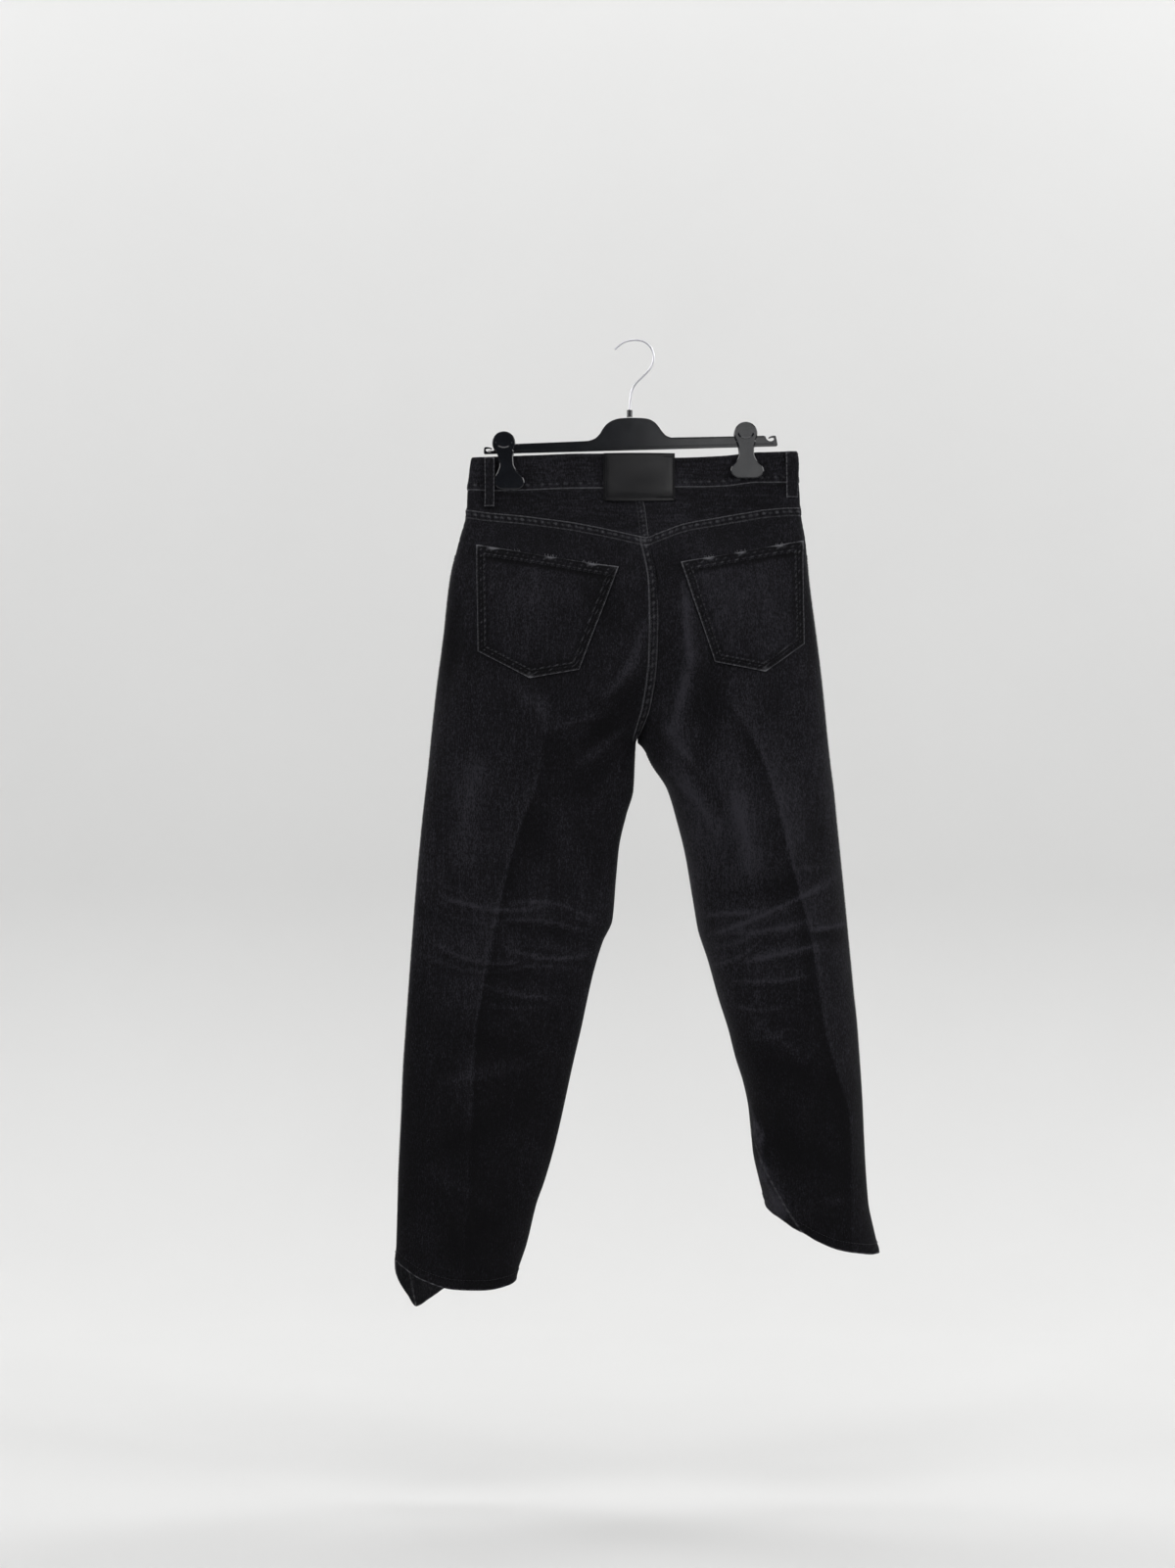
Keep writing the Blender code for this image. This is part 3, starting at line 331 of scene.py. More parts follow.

# Fine creases laid over the folds, in the same columns and one more: how faded
# the crest is. Troughs get painted shade. Knee lines first, then the seat, the
# crotch and the shins.
CREASES = (
    ("back", 256, -657, 164, -694, 6, 1.9, 0.1),
    ("back", 164, -694, 109, -688, 6, 1.6, 0.1),
    ("back", 268, -681, 150, -697, 6, 1.6, 0.1),
    ("back", 150, -697, 46, -709, 7, 1.5, 0.1),
    ("back", 270, -712, 192, -748, 6, 1.7, 0.1),
    ("back", 169, -733, 53, -748, 6, 1.5, 0.1),
    ("back", 245, -741, 169, -757, 6, 1.5, 0.1),
    ("back", 169, -757, 77, -752, 6, 1.4, 0.1),
    ("back", 185, -787, 109, -805, 7, 1.4, 0.1),
    ("back", 262, -697, 180, -716, 8, -1.8, 0),
    ("back", 160, -713, 70, -728, 8, -1.8, 0),
    ("back", 240, -765, 120, -775, 9, -1.6, 0),
    ("back", -82, -697, -150, -699, 6, 1.8, 0.1),
    ("back", -150, -699, -250, -653, 6, 2, 0.1),
    ("back", -86, -730, -142, -709, 6, 1.6, 0.1),
    ("back", -142, -709, -198, -685, 6, 1.6, 0.1),
    ("back", -98, -757, -145, -729, 6, 1.5, 0.1),
    ("back", -94, -764, -178, -745, 6, 1.6, 0.1),
    ("back", -178, -745, -253, -745, 6, 1.8, 0.1),
    ("back", -106, -721, -250, -712, 6, 1.6, 0.1),
    ("back", -118, -781, -217, -772, 7, 1.4, 0.1),
    ("back", -200, -727, -258, -729, 8, -2, 0),
    ("back", -110, -745, -190, -728, 7, -1.6, 0),
    ("back", -100, -680, -190, -672, 12, -2, 0),
    ("back", 8, -470, 74, -520, 9, 2.4, 0.3),
    ("back", 20, -512, 92, -560, 12, -2.4, 0),
    ("back", 30, -452, 110, -478, 9, 2, 0.25),
    ("back", -34, -470, -84, -540, 9, 2.6, 0.35),
    ("back", -46, -520, -96, -600, 11, 2.2, 0.3),
    ("back", -60, -500, -112, -590, 10, -2.4, 0),
    ("back", 60, -300, 20, -352, 16, -2.2, 0),
    ("back", -40, -268, -70, -330, 12, -2, 0),
    ("back", 214, -300, 236, -420, 14, -2.2, 0),
    ("back", -206, -280, -222, -400, 12, -2, 0),
    ("back", 140, -560, 110, -640, 22, -2.6, 0),
    ("back", 200, -520, 214, -640, 24, 2, 0.25),
    ("back", -206, -540, -222, -650, 20, -2.6, 0),
    ("back", -120, -560, -140, -640, 18, 2.2, 0.35),
    ("back", 250, -840, 150, -868, 14, -2, 0),
    ("back", 240, -905, 130, -880, 14, 1.8, 0.2),
    ("back", 130, -930, 226, -985, 16, -2.2, 0),
    ("back", 250, -1010, 170, -1060, 16, 2, 0.2),
    ("back", 150, -1040, 214, -1110, 14, -2, 0),
    ("back", -140, -830, -200, -870, 14, 2, 0.2),
    ("back", -150, -880, -232, -905, 16, -2.4, 0),
    ("back", -223, -1047, -263, -1048, 6, 1.6, 0.2),
    ("back", -180, -985, -250, -1010, 14, -2, 0),
    ("back", -138, -931, -151, -975, 7, 2.4, 0.6),
    ("back", -151, -975, -157, -1019, 7, 2.4, 0.6),
    ("back", -157, -1019, -178, -1066, 7, 2.2, 0.6),
    ("back", -172, -960, -186, -1040, 12, -2.6, 0),
    ("front", 18, -352, 96, -338, 7, 1.8, 0.25),
    ("front", 20, -372, 112, -372, 7, 1.8, 0.25),
    ("front", 20, -394, 104, -408, 7, 1.6, 0.2),
    ("front", -24, -350, -98, -334, 7, 1.8, 0.25),
    ("front", -26, -372, -112, -368, 7, 1.8, 0.25),
    ("front", -26, -392, -102, -404, 7, 1.6, 0.2),
    ("front", 250, -640, 120, -676, 8, 1.8, 0.2),
    ("front", 255, -700, 110, -690, 8, -2, 0),
    ("front", 258, -726, 96, -742, 8, 1.8, 0.2),
    ("front", 240, -790, 130, -770, 9, 1.6, 0.15),
    ("front", -110, -655, -236, -684, 8, 1.8, 0.2),
    ("front", -100, -705, -240, -712, 8, -2, 0),
    ("front", -106, -744, -246, -728, 8, 1.8, 0.2),
    ("front", -126, -792, -240, -776, 9, 1.6, 0.15),
    ("front", 40, -500, 110, -560, 16, -2.4, 0),
    ("front", -60, -510, -120, -580, 16, -2.4, 0),
    ("front", 240, -900, 150, -935, 16, -2, 0),
    ("front", 150, -1010, 250, -1050, 16, 2, 0.1),
    ("front", -150, -880, -240, -920, 16, -2.2, 0),
    ("front", -170, -980, -250, -1010, 14, 2, 0.1),
)

# Broad faded areas. Columns: side, x, z, reach across, reach up and down, strength.
FADES = (
    ("back", 110, -300, 110, 60, 0.10),
    ("back", -118, -300, 100, 70, 0.14),
    ("back", 210, -560, 60, 130, 0.10),
    ("back", -96, -560, 50, 130, 0.32),
    ("back", -200, -560, 60, 150, 0.20),
    ("back", 110, -720, 60, 70, 0.07),
    ("back", -150, -730, 70, 70, 0.12),
    ("back", 190, -1000, 90, 150, -0.06),
    ("back", -205, -960, 65, 120, -0.04),
    ("back", -166, -1045, 20, 38, 0.30),
    ("front", 120, -500, 80, 190, 0.5),
    ("front", -120, -500, 80, 190, 0.5),
    ("front", 170, -720, 80, 90, 0.5),
    ("front", -170, -720, 80, 90, 0.5),
    ("front", 195, -960, 70, 130, 0.25),
    ("front", -200, -930, 60, 120, 0.25),
)

# Corners of the back pockets: x, z
LEFT_POCKET = {
    "outer top": (195.4, -250.6),
    "inner top": (22.1, -278.9),
    "inner foot": (70.0, -404.0),
    "point": (130.2, -414.2),
    "outer foot": (193.3, -381.2),
}
RIGHT_POCKET = {
    "outer top": (-202.6, -245.2),
    "inner top": (-53.4, -273.0),
    "inner foot": (-94.1, -394.4),
    "point": (-155.8, -406.4),
    "outer foot": (-204.4, -371.6),
}

# Frayed places along a back pocket's top, as shares of the way in from the side seam,
# and how far its top edge sags
WORN_SPOTS = {"left": (0.12, 0.53, 0.82), "right": (0.20, 0.52, 0.78)}
POCKET_SAG = 1.6

# Tufts of loose threads. Columns: pocket, share of the way in from the side seam, threads.
FRAYS = (
    (LEFT_POCKET, 0.53, 7),
    (LEFT_POCKET, 0.80, 9),
    (LEFT_POCKET, 0.30, 4),
    (RIGHT_POCKET, 0.20, 6),
    (RIGHT_POCKET, 0.52, 8),
    (RIGHT_POCKET, 0.78, 6),
)

# Front pocket opening: how far it runs along the waist and down the side seam
SCOOP_WIDTH = 103.0
SCOOP_DEPTH = 76.0
SCOOP_POWER = 2.2
CUT_REACH = 9.0
FACING_BELOW = 34.0

# Sewing: how far apart stitches are, how long each shows and half its width
STITCH_PITCH = 3.5
STITCH_LENGTH = 2.5
STITCH_HALF = 0.30
FRAY_HALF = 0.2

# Belt loops. Columns: name, side of the cloth, x of the middle, top z, foot z.
BELT_LOOPS = (
    ("belt_loop_back_left", "back", 180.6, -142.6, -203),
    ("belt_loop_back_right", "back", -190.4, -135.8, -192.4),
    ("belt_loop_front_left", "front", 104, -140.6, -200),
    ("belt_loop_front_right", "front", -94, -141.4, -196),
)
LOOP_WIDTH = 12.4
LOOP_ARCH = 2.6

# Patch at the centre back, over band and yoke
PATCH_LEFT = 40.4
PATCH_RIGHT = -46.6
PATCH_TOP = -138.8
PATCH_FOOT = -196.6
PATCH_WALL = 1.6

# Front closing
FLY_WIDTH = 36.0
FLY_LAP = 4.0
FLY_LENGTH = 158.0
BAND_UNDERLAP = 34.0
BUTTON_RADIUS = 8.5
TOOTH_PITCH = 1.9

# Hanger
BAR_HALF = 2.0
HOOK_RADIUS = 1.4
LEFT_CLIP = {"name": "left", "x": 155.0, "head": (162.4, -125.2), "foot": -182.0, "wide": 1.0}
RIGHT_CLIP = {"name": "right", "x": -135.8, "head": (-133.7, -113.6), "foot": -168.4, "wide": 1.07}
CLIP_HEAD_RADIUS = 14.2
CLIP_TALL = 56.8
JAW_REACH = 173.4

# Half width of a jaw below its head. Columns: height above the foot, half width.
JAW_SHAPE = (
    (47, 11),
    (41.5, 9.5),
    (35, 8.7),
    (28.5, 9),
    (21, 12.6),
    (15.5, 17.4),
    (9.8, 19),
    (5, 17.4),
    (1.3, 13),
    (0, 8),
)

# Rounding of a jaw's outer face. Columns: inset from the outline, height over the inner face.
JAW_ROUNDING = (
    (0.4, 0),
    (0, 0.4),
    (0, 2.66),
    (0.06, 2.73),
    (0.14, 2.78),
    (0.86, 3.22),
    (0.94, 3.27),
    (1.04, 3.3),
    (1.3, 3.3),
)

# Section of the lip below a clip's thumb rest. Columns: half width and half height of
# the oval that it follows, height over the face or None at the crest.
LIP_SECTION = (
    (8.1, 5.2, -0.3),
    (8.2, 5.3, 0.02),
    (9.8, 6.9, None),
    (10.2, 7.3, 0),
    (10.1, 7.2, -0.3),
)

# Section of the bar's edge, from its front face to its back face. Columns: inset, y.
BAR_ROUNDING = (
    (0.45, -2),
    (0.3, -2),
    (0.1, -1.9),
    (0, -1.7),
    (0, 1.7),
    (0.1, 1.9),
    (0.3, 2),
    (0.45, 2),
)

# Top edge of the raised middle of the hanger bar. Columns: x, z.
BAR_HUMP = (
    (58.2, -121.9),
    (50.9, -119.2),
    (45.4, -114.1),
    (41.8, -108.2),
    (37.1, -102.2),
    (30.7, -97.7),
    (22.4, -94.9),
    (13.2, -94),
    (2, -93.9),
    (-8.8, -94.4),
    (-16.2, -95.8),
    (-22.6, -99.5),
    (-27.1, -104.5),
    (-31.8, -111),
    (-36.4, -115.6),
    (-42.7, -118.1),
)

# Strap notches at the ends of the bar, from its top edge round to its foot. Columns: x, z.
LEFT_NOTCH = (
    (172, -127.6),
    (174.6, -133.4),
    (179.4, -136),
    (183.4, -135),
    (184.6, -132.6),
    (181.2, -131.7),
    (177.4, -132.5),
    (177.2, -131.2),
    (181.6, -129.8),
    (185.8, -130),
    (186.9, -132.6),
    (187, -137.4),
)
RIGHT_NOTCH = (
    (-157.8, -116.5),
    (-159.8, -120.4),
    (-163.2, -122.4),
    (-167.2, -121.8),
    (-168.6, -119.4),
    (-166.4, -118.2),
    (-162.2, -119.2),
    (-161.8, -118),
    (-165.4, -116.2),
    (-170.2, -116),
    (-171.6, -120),
    (-172.8, -127.2),
)

# Middle of the hook's wire. Columns: x, z.
HOOK_PATH = (
    (26.5, -10),
    (17, -2.2),
    (8, 0.9),
    (0, 1.4),
    (-8.4, -0.2),
    (-16.8, -6.6),
    (-20.9, -17),
    (-18.9, -29.6),
    (-10.9, -40.4),
    (-0.6, -50.4),
    (5, -59),
    (7.4, -71),
    (8.4, -84),
)


class Curve:
    """A column of a table against its first column, on a smooth curve with no overshoot."""

    def __init__(self, table, column):
        rows = sorted(table)
        self.at = np.array([row[0] for row in rows], dtype=float)
        self.value = np.array([row[column] for row in rows], dtype=float)
        steep = np.diff(self.value) / np.diff(self.at)
        before = steep[:-1]
        after = steep[1:]
        same_way = before * after > 0.0
        both = np.where(same_way, before + after, 1.0)
        inner = np.where(same_way, 2.0 * before * after / both, 0.0)
        self.slope = np.concatenate(([steep[0]], inner, [steep[-1]]))

    def __call__(self, at):
        at = np.clip(at, self.at[0], self.at[-1])
        i = np.clip(np.searchsorted(self.at, at, side="right") - 1, 0, len(self.at) - 2)
        step = self.at[i + 1] - self.at[i]
        t = (at - self.at[i]) / step
        start = self.value[i]
        rise = self.value[i + 1] - start
        return (
            start
            + rise * t * t * (3.0 - 2.0 * t)
            + step * self.slope[i] * t * (1.0 - t) ** 2
            - step * self.slope[i + 1] * t * t * (1.0 - t)
        )


def make_half(sign, sections, seams, hem, press, clip_x):
    """Curves of one half of the garment, by name."""
    return {
        "sign": sign,
        "outer": Curve(sections, 1),
        "inner": Curve(sections, 2),
        "front": Curve(sections, 3),
        "back": Curve(sections, 4),
        "round": Curve(sections, 5),
        "side seam": Curve(seams, 1),
        "inseam": Curve(seams, 2),
        "hem": Curve(hem, 1),
        "press x": Curve(press, 1),
        "press": Curve(press, 2),
        "clip": clip_x,
    }


LEFT = make_half(1.0, LEFT_SECTIONS, LEFT_SEAMS, LEFT_HEM, LEFT_PRESS, LEFT_CLIP["x"])
RIGHT = make_half(-1.0, RIGHT_SECTIONS, RIGHT_SEAMS, RIGHT_HEM, RIGHT_PRESS, RIGHT_CLIP["x"])
HALVES = {"left": LEFT, "right": RIGHT}
BACK_SEAM = Curve(CENTRE, 1)
FRONT_SEAM = Curve(CENTRE, 2)
BAND_TOP = Curve(BAND_EDGES, 1)
BAND_FOOT = Curve(BAND_EDGES, 2)
YOKE_LINE = Curve(YOKE_SEAM, 1)


def soft(value):
    """Eased step from 0 to 1."""
    value = np.clip(value, 0.0, 1.0)
    return value * value * (3.0 - 2.0 * value)


def line_of(away, middle, reach):
    """1 along a soft line, easing to 0 within reach of it."""
    return np.exp(-(((away - middle) / reach) ** 2))


def wrapped(angle):
    """The same angle between -180 and 180."""
    return (angle + 180.0) % 360.0 - 180.0


def end_angle(z):
    """Angle of the centre seam round a half: 90 at the hips, 180 at the crotch and below."""
    t = np.clip((CROTCH + RISE_CURVE - z) / RISE_CURVE, 0.0, 1.0)
    parted = soft(t) + RISE_ROUND * t * t * (t - 1.0)
    return 90.0 + np.degrees(np.arcsin(np.clip(parted, 0.0, 1.0)))


def spread(half, z, back):
    """Outer fold and half width of a half's section at a height."""
    outer = half["outer"](z)
    seam = np.where(back, BACK_SEAM(z), FRONT_SEAM(z))
    near = soft((CROTCH + 12.0 - z) / 12.0)
    above = half["sign"] * seam + 0.5 * SEAM_GAP + near * (1.0 - 0.5 * SEAM_GAP)
    inner = np.where(z <= CROTCH, half["inner"](z), above)
    return outer, (outer - inner) / (1.0 - np.cos(np.radians(end_angle(z))))


def clip_hold(half, x, z):
    """How far a clip presses the cloth flat here: 1 under its jaws, 0 away from it."""
    away = (x - half["clip"]) * half["sign"]
    ease = np.where(away > 0.0, CLIP_EASE_OUTER, CLIP_EASE_INNER)
    across = 1.0 - soft((np.abs(away) - CLIP_HALF) / ease)
    down = 1.0 - soft((CLIP_LOW - z) / CLIP_FADE)
    return across * down


def segment_away(x, z, x0, z0, x1, z1):
    """Distance to a line between two points, and the share of the way along it."""
    run_x = x1 - x0
    run_z = z1 - z0
    along = np.clip(((x - x0) * run_x + (z - z0) * run_z) / (run_x**2 + run_z**2), 0.0, 1.0)
    return np.hypot(x - x0 - along * run_x, z - z0 - along * run_z), along


def fold_height(half, x, z, back):
    """Height of the main folds and the pressed ridge."""
    total = np.zeros_like(x)
    for side, x0, z0, x1, z1, reach, height in FOLDS:
        here = back if side == "back" else ~back
        away = segment_away(x, z, x0, z0, x1, z1)[0]
        total += here * height * line_of(away, 0.0, reach)
    away = np.abs(x - half["press x"](z))
    return total + half["press"](z) * np.exp(-away / PRESS_REACH * 1.6)


def skin(half, angle, z):
    """Points of the garment's outer face in millimetres, by angle round a half and height."""
    angle = wrapped(angle)
    back = angle >= 0.0
    outer, wide = spread(half, z, back)
    turn = np.radians(angle)
    x = half["sign"] * (outer - wide * (1.0 - np.cos(turn)))
    deep = np.where(back, half["back"](z), half["front"](z))
    rise = np.sin(turn)
    y = rise * (deep + half["round"](z) / np.sqrt(rise * rise + 0.04))
    facing = np.where(y >= 0.0, 1.0, -1.0)
    y = y + facing * fold_height(half, x, z, y >= 0.0) * np.minimum(1.0, np.abs(rise) * 1.6)
    flat = facing * np.minimum(CLIP_FACE, np.abs(rise) * 20.0)
    y = y + (flat - y) * clip_hold(half, x, z)
    return np.stack((x, y, z + 0.0 * x), axis=-1)


def outward(half, angle, z):
    """Unit normals of the outer face."""
    round_it = skin(half, angle + 0.6, z) - skin(half, angle - 0.6, z)
    up_it = skin(half, angle, z + 1.5) - skin(half, angle, z - 1.5)
    normal = np.cross(round_it, up_it) * half["sign"]
    return normal / np.linalg.norm(normal, axis=-1, keepdims=True)


def angle_at(half, x, z, side):
    """Angle round a half of the front or back point with this x."""
    outer, wide = spread(half, z, np.full(np.shape(z), side == "back"))
    turn = np.degrees(np.arccos(np.clip(1.0 - (outer - x * half["sign"]) / wide, -1.0, 1.0)))
    return turn if side == "back" else -turn


def sway(x, z):
    """Slow unevenness of hanging cloth, about a millimetre either way."""
    return (
        0.55 * np.sin(x / 23.0 + z / 61.0 + 0.4)
        + 0.50 * np.sin(x / 41.0 - z / 37.0 + 1.9)
        + 0.35 * np.sin(x / 13.5 + z / 19.0 + 2.6)
        + 0.25 * np.sin(x / 9.0 - z / 27.0 + 0.9)
        + 0.18 * np.sin(x / 31.0 + z / 8.7 + 4.2)
    )


def creases(half, angle, x, z):
    """Height of the fine creases, and the cloth's tone: how faded it is, with painted light on crests and
    painted shade in troughs and hollows.
    """
    back = wrapped(angle) >= 0.0
    flat = 1.0 - clip_hold(half, x, z)
    height = sway(x, z)
    # Painted light on the rises of the sway and painted shade in its hollows.
    fade_and_shading = 0.03 * height
    for side, x0, z0, x1, z1, reach, tall, worn in CREASES:
        here = back if side == "back" else ~back
        away, along = segment_away(x, z, x0, z0, x1, z1)
        bend = away + 3.0 * np.sin(along * 5.0 + x0)
        ends = 1.0 - 0.55 * np.abs(2.0 * along - 1.0) ** 2
        ridge = here * np.exp(-((bend / reach) ** 2)) * ends
        height = height + tall * ridge
        crest = here * np.exp(-((bend / (0.55 * reach)) ** 2)) * ends
        # Crests fade where worn; troughs get painted shade.
        fade_and_shading = fade_and_shading + (worn * crest if tall > 0.0 else -0.16 * ridge)
    for x0, z0, middle_x, middle_z, x1, z1, worn in WORN_ARCS:
        share = (x - x0) / (x1 - x0)
        middle = (middle_x - x0) / (x1 - x0)
        level = z0 * (share - middle) * (share - 1.0) / middle
        level = level + middle_z * share * (share - 1.0) / (middle * (middle - 1.0))
        level = level + z1 * share * (share - middle) / (1.0 - middle)
        level = level - np.where(back, 0.0, FRONT_ARCS_LOWER)
        ends = soft(share / 0.3) * soft((1.0 - share) / 0.3)
        fade_and_shading = fade_and_shading + worn * ends * line_of(z, level, 2.6)
        height = height + 0.5 * ends * line_of(z, level, 5.0)
    for side, x0, z0, reach_x, reach_z, strength in FADES:
        here = back if side == "back" else ~back
        spot = ((x - x0) / reach_x) ** 2 + ((z - z0) / reach_z) ** 2
        fade_and_shading = fade_and_shading + here * strength * np.exp(-spot)
    # Painted light along each fold's crest and painted shade along its trough.
    for side, x0, z0, x1, z1, reach, tall in FOLDS:
        here = back if side == "back" else ~back
        away, along = segment_away(x, z, x0, z0, x1, z1)
        ends = 1.0 - 0.5 * np.abs(2.0 * along - 1.0) ** 3
        narrow = (0.5 if tall > 0.0 else 1.0) * reach
        fade_and_shading = fade_and_shading + here * 0.075 * tall * ends * line_of(away, 0.0, narrow)
    # Pressed ridge: a pale line along its crest, painted light on its outer flank and painted shade on its
    # inner flank.
    outer_side = (x - half["press x"](z)) * half["sign"]
    strength = np.clip(half["press"](z) / 5.0, 0.0, 1.0)
    lit = soft(outer_side / 6.0) * np.exp(-np.maximum(outer_side, 0.0) / 26.0)
    shaded = soft(-outer_side / 4.0) * np.exp(-np.maximum(-outer_side, 0.0) / 20.0)
    fade_and_shading = fade_and_shading + strength * (0.18 * line_of(outer_side, 1.0, 2.6) + 0.10 * lit - 0.26 * shaded)
    fade_and_shading = fade_and_shading - 0.12 * soft((SHIN_TOP - z) / SHIN_FADE)
    edge = np.minimum(1.0, np.abs(np.sin(np.radians(angle))) * 2.5)
    return height * flat * edge, fade_and_shading


def cloth_points(half, angle, z, out):
    """Points of cloth moved out by out from the creased outer face, with normals and the cloth's tone of
    fading, painted light and painted shade.
    """
    base = skin(half, angle, z)
    normal = outward(half, angle, z)
    height, fade_and_shading = creases(half, angle, base[..., 0], z)
    return base + normal * (height + out)[..., None], normal, fade_and_shading


def millimetres_per_degree(half, angle, z):
    """How far round the cloth one degree goes here."""
    length = np.linalg.norm(skin(half, angle + 0.5, z) - skin(half, angle - 0.5, z), axis=-1)
    return np.maximum(length, 0.05)


# Looks


class Surface:
    """A material under way: its shader and the nodes that feed it."""

    def __init__(self, name, colour, roughness, metallic=0.0, specular=0.5):
        self.material = bpy.data.materials.new(name)
        self.material.use_nodes = True
        self.material.diffuse_color = (*colour, 1.0)
        self.nodes = self.material.node_tree.nodes
        self.links = self.material.node_tree.links
        self.shader = self.nodes["Principled BSDF"]
        self.shader.inputs["Base Color"].default_value = (*colour, 1.0)
        self.shader.inputs["Roughness"].default_value = roughness
        self.shader.inputs["Metallic"].default_value = metallic
        self.shader.inputs["Specular IOR Level"].default_value = specular

    def node(self, kind, values=(), sources=()):
        """Node with values on some of its inputs and links into others."""
        made = self.nodes.new("ShaderNode" + kind)
        for key, value in values:
            made.inputs[key].default_value = value
        for key, source in sources:
            self.links.new(source, made.inputs[key])
        return made

    def place(self):
        """The object's own coordinates."""
        return self.node("TexCoord").outputs["Object"]

    def attribute(self, name):
        """Value that each point of the cloth carries under this name."""
        made = self.node("Attribute")
        made.attribute_name = name
        return made.outputs["Fac"]

    def noise(self, stretch, detail=3.0, rough=0.5):
        """Noise with this many features a metre along each axis."""
        scaled = self.node("Mapping", [("Scale", stretch)], [("Vector", self.place())])
        values = [("Scale", 1.0), ("Detail", detail), ("Roughness", rough)]
        made = self.node("TexNoise", values, [("Vector", scaled.outputs["Vector"])])
        return made.outputs["Fac"]

    def diagonal_bands(self, scale):
        """Slightly wavy diagonal bands."""
        values = [("Scale", scale), ("Distortion", 1.4), ("Detail", 2.0), ("Detail Scale", 2.0)]
        made = self.node("TexWave", values, [("Vector", self.place())])
        made.wave_type = "BANDS"
        made.bands_direction = "DIAGONAL"
        return made.outputs["Fac"]

    def maths(self, kind, first, second):
        """Sum, difference or product of two values, each a socket or a number."""
        made = self.node("Math")
        made.operation = kind
        for socket, value in zip(made.inputs, (first, second)):
            if isinstance(value, float):
                socket.default_value = value
            else:
                self.links.new(value, socket)
        return made.outputs["Value"]

    def moved(self, value, low, high, to_low, to_high):
        """Value moved from the range low to high into the range to_low to to_high."""
        values = [("From Min", low), ("From Max", high), ("To Min", to_low), ("To Max", to_high)]
        return self.node("MapRange", values, [("Value", value)]).outputs["Result"]

    def ramp(self, value, stops):
        """Colour from a value. Stops hold a position and a colour each."""
        made = self.node("ValToRGB", sources=[("Fac", value)])
        line = made.color_ramp.elements
        line[0].position, line[0].color = stops[0][0], (*stops[0][1], 1.0)
        line[1].position, line[1].color = stops[-1][0], (*stops[-1][1], 1.0)
        for position, colour in stops[1:-1]:
            line.new(position).color = (*colour, 1.0)
        return made.outputs["Color"]

    def bump(self, height, strength, distance, below=None):
        """Normal of a fine relief, laid over another one where below is given."""
        sources = [("Height", height)]
        if below is not None:
            sources.append(("Normal", below))
        made = self.node("Bump", [("Strength", strength), ("Distance", distance)], sources)
        return made.outputs["Normal"]

    def finished(self, **sources):
        """The material, with its colour, roughness or normal fed from these sockets."""
        names = {"colour": "Base Color", "roughness": "Roughness", "normal": "Normal"}
        for key, source in sources.items():
            self.links.new(source, self.shader.inputs[names[key]])
        return self.material


def denim(name, darkest, dark, grey, worn, crosswise=False):
    """Black twill with a fine grain up it or across it, faded areas, painted light and shade on its folds
    and creases, and pale worn edges.
    """
    cloth = Surface(name, dark, 0.9, specular=0.10)
    cloth.shader.inputs["Sheen Weight"].default_value = 0.012
    cloth.shader.inputs["Sheen Roughness"].default_value = 0.6
    grain = cloth.noise((820.0, 820.0, 240.0), 2.0)
    slub = cloth.noise((30.0, 300.0, 330.0) if crosswise else (300.0, 300.0, 26.0), 3.0)
    cloud = cloth.noise((17.0, 17.0, 10.0), 4.0, 0.6)
    speck = cloth.noise((640.0, 640.0, 520.0), 1.0)
    # The tone attribute carries real fading together with painted light and painted shade on folds and
    # creases.
    tone = cloth.maths("MULTIPLY", cloth.attribute("fade_and_shading"), 1.25)
    patterns = ((grain, 1.5), (slub, 1.2 if crosswise else 0.7), (cloud, 0.6), (speck, 0.8))
    for pattern, strength in patterns:
        centred = cloth.maths("SUBTRACT", pattern, 0.5)
        tone = cloth.maths("ADD", tone, cloth.maths("MULTIPLY", centred, strength))
    tone = cloth.maths("ADD", tone, 0.30)
    body = cloth.ramp(tone, ((0.0, darkest), (0.38, dark), (1.0, grey)))
    broken = cloth.maths("MULTIPLY", cloth.attribute("wear"), cloth.maths("ADD", speck, 0.42))
    mix = cloth.node("Mix")
    mix.data_type = "RGBA"
    cloth.links.new(cloth.moved(broken, 0.12, 0.95, 0.0, 1.0), mix.inputs[0])
    cloth.links.new(body, mix.inputs[6])
    mix.inputs[7].default_value = (*worn, 1.0)
    relief = cloth.bump(cloth.noise((60.0, 60.0, 40.0), 3.0), 0.5, 0.0022)
    relief = cloth.bump(grain, 0.5, 0.0004, relief)
    relief = cloth.bump(cloth.diagonal_bands(300.0), 0.45, 0.0003, relief)
    rough = cloth.moved(slub, 0.3, 0.7, 0.8, 0.95)
    return cloth.finished(colour=mix.outputs[2], roughness=rough, normal=relief)


def moulded_plastic(name):
    """Glossy black injection-moulded plastic with fine handling marks."""
    plastic = Surface(name, (0.006, 0.0068, 0.009), 0.22)
    marks = plastic.noise((60.0, 60.0, 60.0), 4.0, 0.65)
    rough = plastic.moved(marks, 0.35, 0.7, 0.12, 0.16)
    relief = plastic.bump(plastic.noise((420.0, 420.0, 420.0), 2.0), 0.04, 0.0001)
    tint = plastic.ramp(marks, ((0.2, (0.004, 0.0046, 0.0065)), (0.9, (0.008, 0.0095, 0.013))))
    return plastic.finished(colour=tint, roughness=rough, normal=relief)


